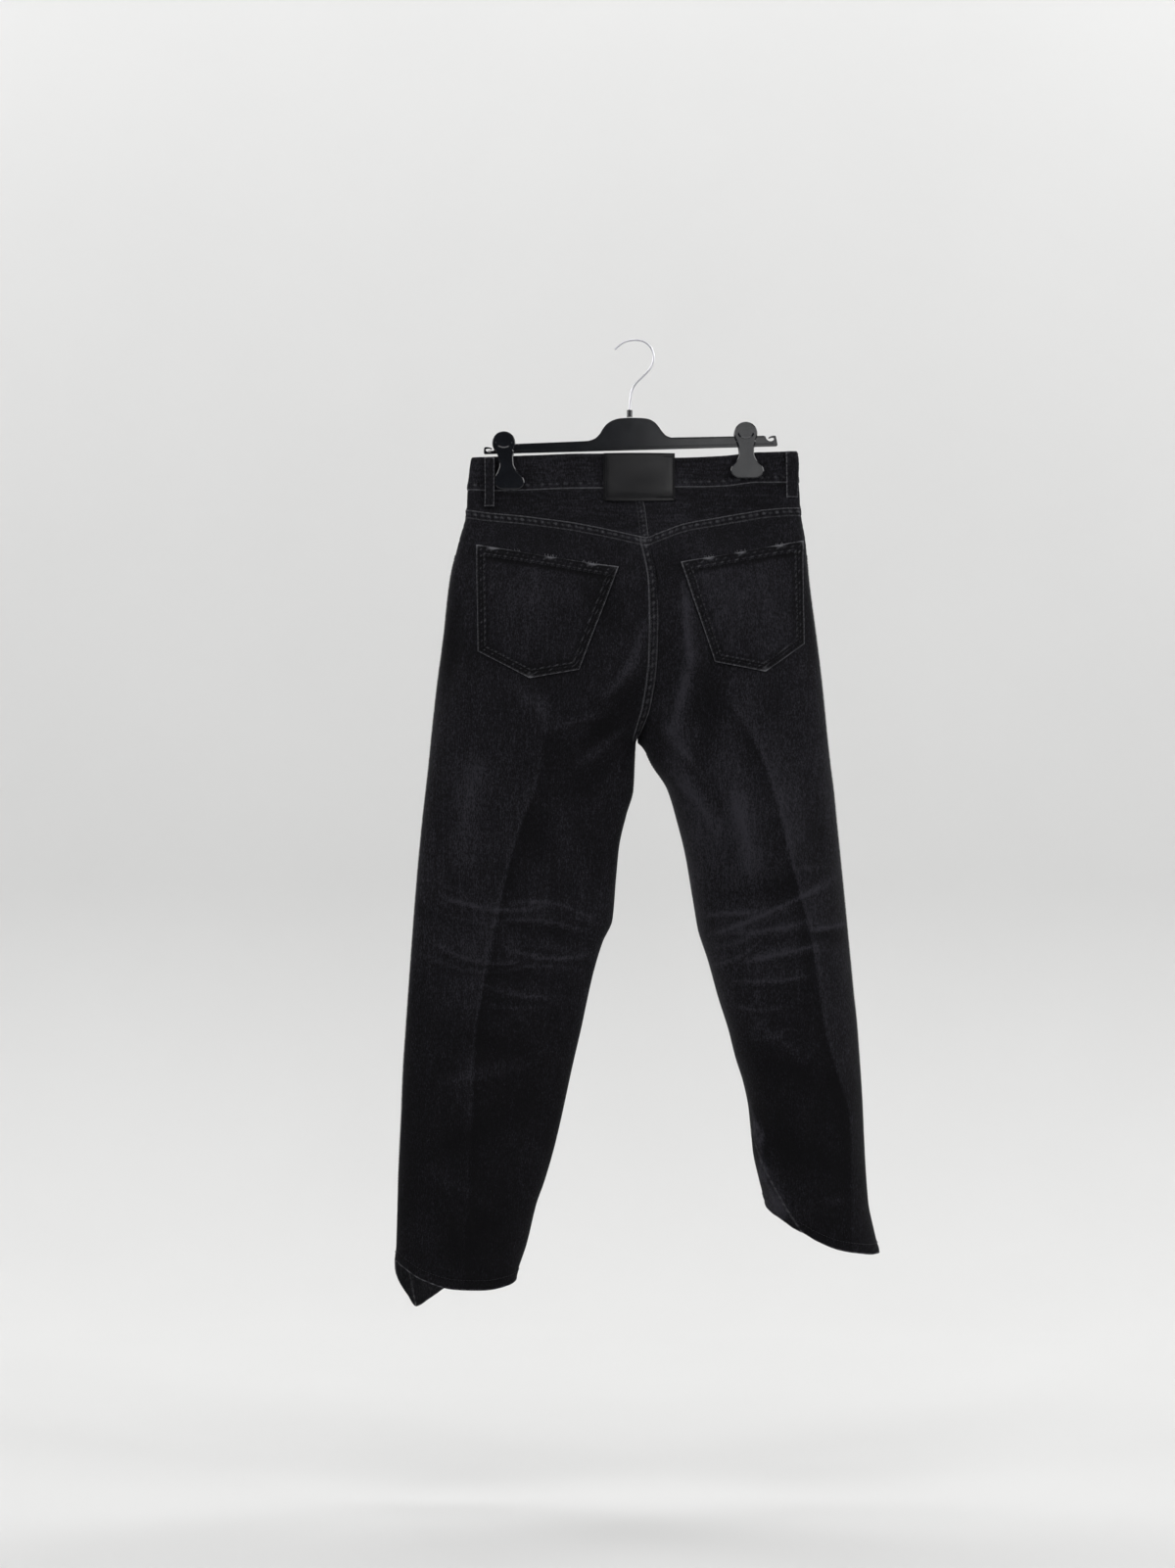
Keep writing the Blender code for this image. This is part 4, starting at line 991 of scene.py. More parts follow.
def bare_leather(name):
    """Smooth black patch leather, a little shiny where it has been rubbed."""
    leather = Surface(name, (0.008, 0.008, 0.009), 0.36)
    pebble = leather.node("TexVoronoi", sources=[("Vector", leather.place())])
    pebble.feature = "DISTANCE_TO_EDGE"
    pebble.inputs["Scale"].default_value = 780.0
    rub = leather.noise((24.0, 24.0, 40.0), 4.0, 0.6)
    rough = leather.moved(rub, 0.3, 0.7, 0.19, 0.25)
    tint = leather.ramp(rub, ((0.25, (0.0055, 0.0055, 0.0065)), (0.85, (0.011, 0.011, 0.012))))
    relief = leather.bump(rub, 0.15, 0.0008)
    relief = leather.bump(pebble.outputs["Distance"], 0.15, 0.0003, relief)
    return leather.finished(colour=tint, roughness=rough, normal=relief)


def brushed_metal(name, colour, rough):
    """Metal with faint lengthwise drawing marks."""
    metal = Surface(name, colour, rough, metallic=1.0)
    drawn = metal.noise((300.0, 300.0, 60.0), 3.0)
    uneven = metal.moved(drawn, 0.3, 0.7, rough * 0.7, rough * 1.4)
    return metal.finished(roughness=uneven, normal=metal.bump(drawn, 0.08, 0.0002))


def thread(name, colour):
    """Twisted sewing thread."""
    yarn = Surface(name, colour, 0.6, specular=0.3)
    relief = yarn.bump(yarn.diagonal_bands(900.0), 0.4, 0.0001)
    paler = tuple(1.9 * part for part in colour)
    tint = yarn.ramp(yarn.noise((90.0, 90.0, 90.0), 2.0), ((0.35, colour), (0.75, paler)))
    return yarn.finished(colour=tint, normal=relief)


def pale_paint(name, colour):
    """Matt pale paint that shows from its front and is clear from its back."""
    paint = Surface(name, colour, 0.9, specular=0.1)
    low = tuple(0.985 * part for part in colour)
    tint = paint.ramp(paint.noise((3.0, 3.0, 3.0), 2.0), ((0.3, low), (0.7, colour)))
    sides = (
        (0, paint.node("NewGeometry").outputs["Backfacing"]),
        (1, paint.shader.outputs[0]),
        (2, paint.node("BsdfTransparent").outputs[0]),
    )
    mix = paint.node("MixShader", sources=sides)
    paint.links.new(mix.outputs[0], paint.nodes["Material Output"].inputs["Surface"])
    return paint.finished(colour=tint)


# Denim tone ramp: its pale end takes real fading and painted light, its darkest end also takes painted
# shade.
BLACKEST = (0.0030, 0.0029, 0.0037)
FADED_AND_LIT = (0.030, 0.029, 0.036)
WORN = (0.125, 0.125, 0.137)
DENIM = denim("denim", BLACKEST, (0.0080, 0.0077, 0.0100), FADED_AND_LIT, WORN)
DENIM_CROSSWISE = denim("denim_crosswise", BLACKEST, (0.0085, 0.0082, 0.0106), FADED_AND_LIT, WORN, True)
DENIM_INSIDE = denim(
    "denim_inside", (0.012, 0.012, 0.014), (0.022, 0.022, 0.025), (0.060, 0.060, 0.066), (0.12, 0.12, 0.13)
)
PLASTIC = moulded_plastic("moulded_plastic")
LEATHER = bare_leather("patch_leather")
STEEL = brushed_metal("drawn_steel", (0.78, 0.78, 0.82), 0.42)
GUNMETAL = brushed_metal("dark_metal", (0.16, 0.16, 0.17), 0.34)
THREAD = thread("black_thread", (0.0062, 0.0062, 0.0078))
BAR_TACK = thread("bartack_thread", (0.005, 0.005, 0.006))
PALE_THREAD = thread("pale_thread", (0.10, 0.10, 0.11))
TAPE = denim(
    "zip_tape_weave",
    (0.004, 0.004, 0.005),
    (0.008, 0.008, 0.009),
    (0.016, 0.016, 0.018),
    (0.03, 0.03, 0.03),
)
PALE = pale_paint("pale_backdrop", (0.73, 0.73, 0.725))


# Building cloth


def mesh_object(name, points, faces, materials, indices=None, sharp=50.0):
    """Smooth mesh from points in millimetres, creased where its faces turn more than sharp."""
    data = bpy.data.meshes.new(name)
    data.from_pydata((np.asarray(points) * MM).tolist(), [], [list(face) for face in faces])
    for material in materials:
        data.materials.append(material)
    if indices is not None:
        data.polygons.foreach_set("material_index", np.asarray(indices, dtype=np.int32))
    data.shade_smooth()
    data.set_sharp_from_angle(angle=math.radians(sharp))
    data.validate()
    obj = bpy.data.objects.new(name, data)
    bpy.context.scene.collection.objects.link(obj)
    return obj


def add_values(data, name, values):
    """A value at each point, for the material to read."""
    layer = data.attributes.new(name, "FLOAT", "POINT")
    layer.data.foreach_set("value", np.asarray(values, dtype=np.float32))


def grid_faces(rows, columns):
    """Four-sided faces of a grid of points, row by row."""
    i, j = np.meshgrid(np.arange(rows - 1), np.arange(columns - 1), indexing="ij")
    first = (i * columns + j).ravel()
    return np.stack((first, first + 1, first + columns + 1, first + columns), axis=1)


def shell(name, points, normals, faces, thick, fade_and_shading, wear, materials):
    """Closed cloth: the outer points, the same ones moved in by thick, and the rim between."""
    count = len(points)
    corners = points[faces]
    across = np.cross(corners[:, 1] - corners[:, 0], corners[:, 2] - corners[:, 0])
    if np.sum(across * normals[faces[:, 0]]) < 0.0:
        faces = faces[:, ::-1]
    stop = np.roll(faces, -1, axis=1)
    rim = ~np.isin(faces * count + stop, stop * count + faces)
    a = faces[rim]
    b = stop[rim]
    sides = np.stack((b, a, a + count, b + count), axis=1)
    if faces.shape[1] == 3:
        sides = np.vstack((sides[:, [0, 1, 2]], sides[:, [0, 2, 3]]))
    inner = points - normals * thick
    every_face = np.vstack((faces, faces[:, ::-1] + count, sides))
    inside = np.zeros(len(every_face), dtype=np.int32)
    inside[len(faces) : 2 * len(faces)] = len(materials) - 1
    obj = mesh_object(name, np.vstack((points, inner)), every_face, materials, inside)
    add_values(obj.data, "fade_and_shading", np.concatenate((fade_and_shading, fade_and_shading)))
    add_values(obj.data, "wear", np.concatenate((wear, wear)))
    return obj


def sewn(node, points, normals, faces, thick, fade_and_shading, wear, materials):
    """Cloth piece in place of its solid."""
    obj = shell("cloth_" + node, points, normals, faces, thick, fade_and_shading, wear, materials)
    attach(obj, "root")
    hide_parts(node)


def sewn_grid(node, points, normals, thick, fade_and_shading, wear, materials):
    """Cloth piece from a whole grid of points."""
    faces = grid_faces(*points.shape[:2])
    points = points.reshape(-1, 3)
    normals = normals.reshape(-1, 3)
    sewn(node, points, normals, faces, thick, fade_and_shading.ravel(), wear.ravel(), materials)


def column_ends(half, z, back):
    """Angles of a leg panel's side seam and of its centre seam or inseam."""
    sense = 1.0 if back else -1.0
    start = half["side seam"](z)
    inseam = half["inseam"](z) - (0.0 if back else 360.0)
    stop = np.where(z > CROTCH, sense * end_angle(z), inseam)
    start = start + sense * 0.5 * SEAM_GAP / millimetres_per_degree(half, start, z)
    stop = stop - sense * 0.5 * SEAM_GAP / millimetres_per_degree(half, stop, z)
    return start, stop


def graded(count, length, edge, fine):
    """Shares from 0 to 1, fine apart within edge of both ends of the length."""
    few = int(edge / fine)
    ends = np.linspace(0.0, edge / length, few, endpoint=False)
    middle = np.linspace(edge / length, 1.0 - edge / length, count - 2 * few)
    return np.concatenate((ends, middle, 1.0 - ends[::-1]))


def column_shares(half, back, columns):
    """Shares of the angle across a leg panel, close together beside its seams."""
    dense = np.linspace(0.0, 1.0, 400)
    run = np.zeros(400)
    for level in (-320.0, -600.0, -900.0):
        start, stop = column_ends(half, np.full(400, level), back)
        line = skin(half, start + (stop - start) * dense, np.full(400, level))
        steps = np.linalg.norm(np.diff(line, axis=0), axis=1)
        run[1:] += np.cumsum(steps) / steps.sum() / 3.0
    return np.interp(graded(columns, 270.0, 13.0, 1.0), run, dense)


def panel_grid(half, back, rows, columns):
    """Angles and heights of a leg panel's points, from its upper edge to its hem."""
    share = column_shares(half, back, columns)
    top = np.full(columns, -205.0)
    foot = np.full(columns, -1120.0)
    for _ in range(6):
        start, stop = column_ends(half, top, back)
        x = skin(half, start + (stop - start) * share, top)[:, 0]
        top = YOKE_LINE(x) - 0.5 * EDGE_GAP if back else BAND_FOOT(x) - EDGE_GAP
        start, stop = column_ends(half, foot, back)
        foot = half["hem"](wrapped(start + (stop - start) * share))
    tall = top.max() - foot.min()
    line = top.max() - tall * graded(rows, tall, 15.0, 1.0)[:, None]
    z = line + (top - top.max()) * (1.0 - soft((top.max() - line) / 130.0))
    z = z + (foot - foot.min()) * (1.0 - soft((line - foot.min()) / 180.0))
    start, stop = column_ends(half, z, back)
    return start + (stop - start) * share, z


def pucker(along, across, pitch):
    """Small ridges that a seam's stitching pulls up across it."""
    slant = along + 0.35 * across
    first = np.sin(2.0 * math.pi * slant / pitch)
    return 0.5 + 0.35 * first + 0.15 * np.sin(2.0 * math.pi * slant / (1.73 * pitch) + 1.1)


def band_of(away, width):
    """1 over a sewn band width wide beside a seam, easing to 0 at its far edge."""
    return soft((width - away) / 2.0) * soft((away + 0.6) / 0.9)


def panel_relief(half, back, angle, z, x):
    """Raised seams, hem turn and puckers of a leg panel, with how worn each place is."""
    start, stop = column_ends(half, z, back)
    scale = millimetres_per_degree(half, angle, z)
    side_away = np.abs(angle - start) * scale
    seam_away = np.abs(stop - angle) * scale
    hem_away = np.maximum(z - half["hem"](wrapped(angle)), 0.0)
    out = np.zeros_like(z)
    wear = np.zeros_like(z)
    turned = soft((HEM_DEEP - hem_away) / 2.5)
    rope = pucker(x, 2.0 * hem_away, 9.5)
    out += turned * (0.55 + 0.6 * (rope - 0.5))
    wear += 0.7 * line_of(hem_away, 0.0, 1.5) * (0.4 + rope)
    wear += 0.08 * line_of(hem_away, HEM_DEEP, 1.4) * rope
    ridge = pucker(z, side_away, 8.0)
    if back:
        out += band_of(side_away, SIDE_TURNING) * (0.45 + 0.45 * (ridge - 0.5))
    wear += 0.4 * line_of(side_away, 0.0, 1.6) * (0.4 + ridge)
    above = z > CROTCH
    centre_ridge = pucker(z, seam_away, 8.5)
    left_side = half["sign"] > 0.0
    if back and left_side:
        out += above * band_of(seam_away, CENTRE_TURNING) * (0.75 + 0.5 * (centre_ridge - 0.5))
        lower = soft((-296.0 - z) / 40.0)
        wear += above * 0.75 * line_of(seam_away, 10.4, 1.1) * (0.75 + 0.25 * centre_ridge)
        wear += above * 0.5 * line_of(seam_away, 5.4, 2.2) * centre_ridge
        wear += above * lower * 0.8 * line_of(seam_away, 0.6, 1.0) * (0.7 + 0.3 * centre_ridge)
    if not back:
        out += ~above * band_of(seam_away, INSEAM_TURNING) * (0.45 + 0.4 * (centre_ridge - 0.5))
    wear += ~above * 0.4 * line_of(seam_away, 0.0, 1.6) * (0.4 + centre_ridge)
    if back:
        yoke_away = np.maximum(YOKE_LINE(x) - z, 0.0)
        across = pucker(x, yoke_away, 8.2)
        out += band_of(yoke_away, YOKE_TURNING) * (0.7 + 0.75 * (across - 0.5))
        wear += 0.85 * line_of(yoke_away, 0.7, 1.0) * (0.7 + 0.3 * across)
        wear += 0.55 * line_of(yoke_away, 5.2, 2.1) * across
        wear += 0.6 * line_of(yoke_away, 10.0, 1.0) * (0.6 + 0.4 * across)
    return out, wear


def leg_panel(half_name, back, rows, columns):
    """Leg panel down to its hem. A front one is cut away at its pocket opening."""
    half = HALVES[half_name]
    angle, z = panel_grid(half, back, rows, columns)
    grid = skin(half, angle, z)
    x = grid[..., 0]
    materials = (DENIM, DENIM_INSIDE)
    if back:
        out, wear = panel_relief(half, back, angle, z, x)
        points, normals, fade_and_shading = cloth_points(half, angle, z, out)
        sewn_grid("back_" + half_name, points, normals, PANEL_WALL, fade_and_shading, wear, materials)
        return
    opening = scoop_outline(half, 0.0, 20)
    angle, z, x, faces = cut_grid(half, x, angle, z, opening, False)
    out, wear = panel_relief(half, back, angle, z, x)
    wear += 0.8 * line_of(outline_away(opening, x, z), 0.0, 2.6)
    points, normals, fade_and_shading = cloth_points(half, angle, z, out)
    node = "front_" + half_name
    sewn(node, points, normals, faces, PANEL_WALL, fade_and_shading, wear, materials)


def outline_away(outline, x, z):
    """Distance to the nearest side of an outline."""
    closest = np.full(np.shape(x), 1e9)
    for (x0, z0), (x1, z1) in zip(outline, outline[1:]):
        closest = np.minimum(closest, segment_away(x, z, x0, z0, x1, z1)[0])
    return closest


def scoop_outline(half, more, steps):
    """Edge of a front pocket opening, widened by more, from the side seam to the waistband."""
    sign = half["sign"]
    outer = float(half["outer"](CLIP_LOW))
    top = float(BAND_FOOT(sign * (outer - 0.5 * SCOOP_WIDTH)))
    points = []
    for i in range(steps + 1):
        turn = math.radians(90.0 * i / steps)
        along = math.sin(turn) ** (2.0 / SCOOP_POWER)
        down = max(math.cos(turn), 0.0) ** (2.0 / SCOOP_POWER)
        x = outer - (SCOOP_WIDTH + more) * along
        points.append((sign * x, top - (SCOOP_DEPTH + more) * down))
    return points


def cut_grid(half, x, angle, z, outline, keep_inside):
    """Cuts a grid of cloth along a convex outline and keeps its inside or the rest."""
    mesh = bmesh.new()
    spots = [mesh.verts.new((a, b, c)) for a, b, c in zip(x.ravel(), angle.ravel(), z.ravel())]
    for corners in grid_faces(*x.shape):
        mesh.faces.new([spots[k] for k in corners])
    if keep_inside:
        middle_x, middle_z = np.mean(outline, axis=0)
    else:
        middle_x = half["sign"] * float(half["outer"](CLIP_LOW))
        middle_z = outline[-1][1]
    sides = []
    for (x0, z0), (x1, z1) in zip(outline, outline[1:]):
        away = Vector((z1 - z0, 0.0, x0 - x1)).normalized()
        if away.x * (middle_x - x0) + away.z * (middle_z - z0) > 0.0:
            away.negate()
        sides.append((Vector((x0, 0.0, z0)), away))
        near = mesh.faces[:]
        if not keep_inside:
            low_x, high_x = min(x0, x1) - CUT_REACH, max(x0, x1) + CUT_REACH
            low_z, high_z = min(z0, z1) - CUT_REACH, max(z0, z1) + CUT_REACH
            starts = [(face, face.verts[0].co) for face in near]
            near = [face for face, at in starts if low_x < at.x < high_x and low_z < at.z < high_z]
        geometry = dict.fromkeys(near)
        for face in near:
            geometry.update(dict.fromkeys(face.edges))
            geometry.update(dict.fromkeys(face.verts))
        bmesh.ops.bisect_plane(
            mesh,
            geom=list(geometry),
            dist=0.02,
            plane_co=(x0, 0.0, z0),
            plane_no=away,
            clear_outer=keep_inside,
        )
    if not keep_inside:
        inside = []
        for face in mesh.faces:
            middle = face.calc_center_median()
            if all((middle - spot).dot(away) < 0.0 for spot, away in sides):
                inside.append(face)
        bmesh.ops.delete(mesh, geom=inside, context="FACES")
    bmesh.ops.triangulate(mesh, faces=mesh.faces[:])
    loose = [vertex for vertex in mesh.verts if not vertex.link_faces]
    bmesh.ops.delete(mesh, geom=loose, context="VERTS")
    mesh.verts.index_update()
    kept = np.array([vertex.co[:] for vertex in mesh.verts])
    faces = np.array([[vertex.index for vertex in face.verts] for face in mesh.faces])
    mesh.free()
    return kept[:, 1], kept[:, 2], kept[:, 0], faces


def from_front(node, half_name, outline, out, thick, rows, columns, worn):
    """Piece cut from the front's own surface inside a closed convex outline, moved out."""
    half = HALVES[half_name]
    low_x, low_z = np.min(outline, axis=0) - 2.0
    high_x, high_z = np.max(outline, axis=0) + 2.0
    level = np.linspace(high_z, low_z, rows)
    z = np.repeat(level[:, None], columns, axis=1)
    first = angle_at(half, np.full(rows, low_x), level, "front")
    last = angle_at(half, np.full(rows, high_x), level, "front")
    angle = first[:, None] + (last - first)[:, None] * np.linspace(0.0, 1.0, columns)
    x = skin(half, angle, z)[..., 0]
    outline = outline + outline[:1]
    angle, z, x, faces = cut_grid(half, x, angle, z, outline, True)
    away = outline_away(outline, x, z)
    points, normals, fade_and_shading = cloth_points(half, angle, z, out + 0.35 * worn * soft((9.0 - away) / 2.0))
    wear = 0.7 * worn * line_of(away, 0.0, 2.0)
    materials = (DENIM, DENIM_INSIDE)
    sewn(node, points, normals, faces, thick, fade_and_shading, wear, materials)


def pocket_facing(half_name):
    """Facing behind a front pocket opening, the part of it that shows and its turnings."""
    half = HALVES[half_name]
    sign = half["sign"]
    edge = scoop_outline(half, 8.0, 12)
    low = edge[0][1] - FACING_BELOW
    inner_x, top = edge[-1]
    seam_x = float(half["outer"](-240.0)) + 10.0
    outline = [
        (sign * seam_x, top + 6.0),
        (inner_x, top + 6.0),
        (inner_x, low + 40.0),
        (inner_x + sign * 30.0, low + 8.0),
        (sign * (seam_x + 20.0), low),
    ]
    out = -(PANEL_WALL + 2.0 * LAY_GAP)
    from_front("pocket_facing_" + half_name, half_name, outline, out, FACING_WALL, 60, 70, 0.0)


def fly():
    """Fly flap, straight down the centre seam and curved back to it at its foot."""
    top = float(BAND_FOOT(0.0)) - 1.0
    foot = top - FLY_LENGTH
    centre = float(FRONT_SEAM(top)) + 1.0
    low = float(FRONT_SEAM(foot)) + 2.5
    outline = [(centre + FLY_WIDTH, top), (centre, top), (low, foot + 3.0), (low + 3.0, foot)]
    for i in range(1, 9):
        turn = math.radians(11.25 * i)
        x = low + 5.0 + (centre + FLY_WIDTH - low - 5.0) * math.sin(turn)
        z = foot + 1.0 + (FLY_WIDTH + 8.0) * (1.0 - math.cos(turn))
        outline.append((x, z))
    from_front("fly", "left", outline, LAY_GAP + FLY_WALL, FLY_WALL, 80, 24, 1.0)


def yoke(half_name, rows, columns):
    """Back yoke between the waistband and the back panel, lapped over it."""
    half = HALVES[half_name]
    share = graded(columns, 230.0, 12.0, 1.0)
    down = graded(rows, 50.0, 9.0, 1.0)[:, None]
    z = np.full((rows, columns), -200.0)
    for _ in range(6):
        start, stop = column_ends(half, z, True)
        x = skin(half, start + (stop - start) * share, z)[..., 0]
        top = BAND_FOOT(x) - EDGE_GAP
        foot = YOKE_LINE(x) + 0.5 * EDGE_GAP
        z = top + (foot - top) * down
    start, stop = column_ends(half, z, True)
    angle = start + (stop - start) * share
    scale = millimetres_per_degree(half, angle, z)
    seam_away = np.abs(stop - angle) * scale
    foot_away = z - YOKE_LINE(x)
    top_away = BAND_FOOT(x) - z
    ridge = pucker(x, foot_away, 8.2)
    out = 0.55 * soft((3.0 - foot_away) / 2.0) + 0.5 * (ridge - 0.5) * soft((9.0 - foot_away) / 5.0)
    out += 0.4 * (pucker(x, top_away, 9.0) - 0.5) * soft((8.0 - top_away) / 6.0)
    wear = 0.15 * line_of(foot_away, 0.0, 1.2) * ridge + 0.2 * line_of(top_away, 1.0, 1.4)
    if half["sign"] > 0.0:
        centre_ridge = pucker(z, seam_away, 6.0)
        out += 0.8 * band_of(seam_away, CENTRE_TURNING) * (0.7 + 0.4 * (centre_ridge - 0.5))
        wear += 0.8 * line_of(seam_away, 0.6, 1.0) + 0.5 * line_of(seam_away, 5.0, 2.0) * centre_ridge
        wear += 0.3 * line_of(seam_away, 9.8, 1.0)
    points, normals, fade_and_shading = cloth_points(half, angle, z, out)
    materials = (DENIM_CROSSWISE, DENIM_INSIDE)
    sewn_grid("yoke_" + half_name, points, normals, PANEL_WALL, fade_and_shading, wear, materials)


def split_at(x, seam):
    """Each half, with which of the places lie on its side of a centre seam."""
    return ((LEFT, x >= seam), (RIGHT, x < seam))


def by_halves(names, angle, z, out):
    """Cloth points of columns that lie on one half or the other."""
    points = np.zeros(z.shape + (3,))
    normals = np.zeros(z.shape + (3,))
    fade_and_shading = np.zeros(z.shape)
    for name, half in HALVES.items():
        mine = names == name
        made = cloth_points(half, angle[:, mine], z[:, mine], out[:, mine])
        points[:, mine], normals[:, mine], fade_and_shading[:, mine] = made
    return points, normals, fade_and_shading


def waistband(rows, columns):
    """One strip from the lapped left end, round the back, to the under end behind it."""
    front_seam = float(FRONT_SEAM(BAND_LEVEL))
    over_end = front_seam - FLY_LAP
    under_end = front_seam + BAND_UNDERLAP
    level = np.array([BAND_LEVEL])
    first = float(angle_at(LEFT, np.array([over_end]), level, "front")[0])
    last = float(angle_at(LEFT, np.array([under_end]), level, "front")[0])
    turn = float(angle_at(RIGHT, np.array([front_seam - 0.4]), level, "front")[0])
    under = 16
    names = np.array(["left"] * columns + ["right"] * columns + ["left"] * under)
    line = np.concatenate(
        (
            np.linspace(first, 89.9, columns),
            np.linspace(89.9, turn, columns),
            np.linspace(-89.9, last, under),
        )
    )
    down = graded(rows, 41.0, 8.0, 0.9)[:, None]
    angle = np.repeat(line[None, :], rows, axis=0)
    z = np.full(angle.shape, BAND_LEVEL)
    x = np.zeros(angle.shape)
    for _ in range(4):
        for name, half in HALVES.items():
            mine = names == name
            x[:, mine] = skin(half, angle[:, mine], z[:, mine])[..., 0]
        top = BAND_TOP(x)
        foot = BAND_FOOT(x) + 0.5 * SEAM_GAP
        z = top + (foot - top) * down
    order = np.arange(len(names))
    lapped = (order < columns) & (line < 0.0)
    lift = (BAND_WALL + LAY_GAP + 0.1) * (1.0 - soft((x - under_end - 2.0) / 24.0)) * lapped
    top_away = top - z
    foot_away = z - foot
    rolled = 1.0 - np.clip(np.minimum(top_away, foot_away) / 2.2, 0.0, 1.0)
    distance = np.cumsum(np.concatenate(([0.0], np.abs(np.diff(x[0])))))
    waves = pucker(distance[None, :] + 0.0 * z, foot_away, 9.0) - 0.5
    hold = 1.0 - soft((3.0 - np.minimum(top_away, foot_away)) / 3.0)
    out = BAND_PROUD + lift - 0.7 * rolled**2 + 0.45 * waves * hold
    out += 0.35 * soft((9.0 - foot_away) / 2.0)
    points, normals, fade_and_shading = by_halves(names, angle, z, out)
    # The band a little paler, paler on its pucker crests and darker in their hollows.
    fade_and_shading = fade_and_shading + 0.06 + 0.10 * waves
    wear = 0.95 * line_of(foot_away, 0.5, 1.0) * (0.85 + 0.3 * waves)
    wear += 0.4 * line_of(foot_away, 6.6, 2.4) * (0.5 + waves)
    wear += 0.35 * line_of(top_away, 0.4, 1.1) * (0.7 + waves)
    end_away = np.minimum(order, order[::-1]) * 2.4
    wear += 0.6 * line_of(end_away, 0.0, 2.0)
    materials = (DENIM_CROSSWISE, DENIM_INSIDE)
    sewn_grid("waistband", points, normals, BAND_WALL, fade_and_shading, wear, materials)


def back_pocket(half_name, corners, rows, columns):
    """Pointed patch pocket laid on the seat, raised over its seams and frayed at its top."""
    half = HALVES[half_name]
    share = graded(columns, 150.0, 11.0, 0.9)
    down = graded(rows, 130.0, 13.0, 0.9)[:, None]
    outer = np.array(corners["outer top"])
    run = np.array(corners["inner top"]) - outer
    top_x = outer[0] + run[0] * share
    top_z = outer[1] + run[1] * share
    feet = [corners[key] for key in ("outer foot", "point", "inner foot")]
    reach = abs(feet[1][0] - feet[0][0]) / abs(feet[2][0] - feet[0][0])
    at = [0.0, reach, 1.0]
    foot_x = np.interp(share, at, [spot[0] for spot in feet])
    foot_z = np.interp(share, at, [spot[1] for spot in feet])
    sag = POCKET_SAG * np.sin(math.pi * share)
    x = top_x + (foot_x - top_x) * down
    z = top_z - sag * (1.0 - down) + (foot_z - top_z + sag * (1.0 - down)) * down
    angle = angle_at(half, x, z, "back")
    outline = list(corners.values())
    away = outline_away(outline + outline[:1], x, z)
    top_away = segment_away(x, z, *corners["outer top"], *corners["inner top"])[0]
    side_ridge = pucker(x + z, away, 7.5)
    top_ridge = pucker(x, top_away, 9.0)
    raised = 0.45 * soft((9.8 - away) / 1.6) + 0.55 * soft((12.5 - top_away) / 1.6)
    raised += 0.35 * (side_ridge - 0.5) * soft((11.0 - away) / 3.0)
    raised += 0.5 * (top_ridge - 0.5) * soft((13.0 - top_away) / 3.0)
    raised -= 0.35 * (1.0 - np.clip(away / 1.4, 0.0, 1.0)) ** 2
    belly = 1.4 * soft((away - 12.0) / 26.0) * (0.6 + 0.4 * np.sin(x / 17.0 + z / 29.0))
    points, normals, fade_and_shading = cloth_points(half, angle, z, LAY_GAP + POCKET_WALL + raised + belly)
    # The pocket a little paler overall, with darker bands along its stitched edges and a darker line just
    # below its top hem.
    fade_and_shading = fade_and_shading + 0.04 - 0.30 * line_of(top_away, 15.0, 2.6)
    for middle, width, dark in ((3.0, 2.4, 0.30), (7.6, 1.8, 0.24), (12.6, 2.2, 0.16)):
        fade_and_shading = fade_and_shading - dark * line_of(away, middle, width)
    ragged = 0.55 + 0.45 * np.sin(x / 4.1 + 1.3) * np.sin(x / 10.7 + 0.4)
    wear = 1.1 * line_of(top_away, 0.0, 1.5) * ragged + 0.3 * line_of(top_away, 12.4, 1.1) * side_ridge
    wear += 0.85 * line_of(away, 0.3, 0.9) * (0.5 + 0.5 * side_ridge)
    wear += 0.5 * line_of(away, 9.6, 1.2) * side_ridge
    wear += 0.4 * line_of(away, 5.4, 1.6) * side_ridge**2
    for spot in WORN_SPOTS[half_name]:
        spot_x, spot_z = outer + run * spot
        wear += 1.3 * line_of(x, spot_x, 6.0) * line_of(z, spot_z - 1.5, 2.0)
    for corner in ("outer top", "inner top", "point"):
        corner_x, corner_z = corners[corner]
        wear += 0.6 * np.exp(-(((x - corner_x) ** 2 + (z - corner_z) ** 2) / 26.0))
    node = "back_pocket_" + half_name
    sewn_grid(node, points, normals, POCKET_WALL, fade_and_shading, wear, (DENIM, DENIM_INSIDE))


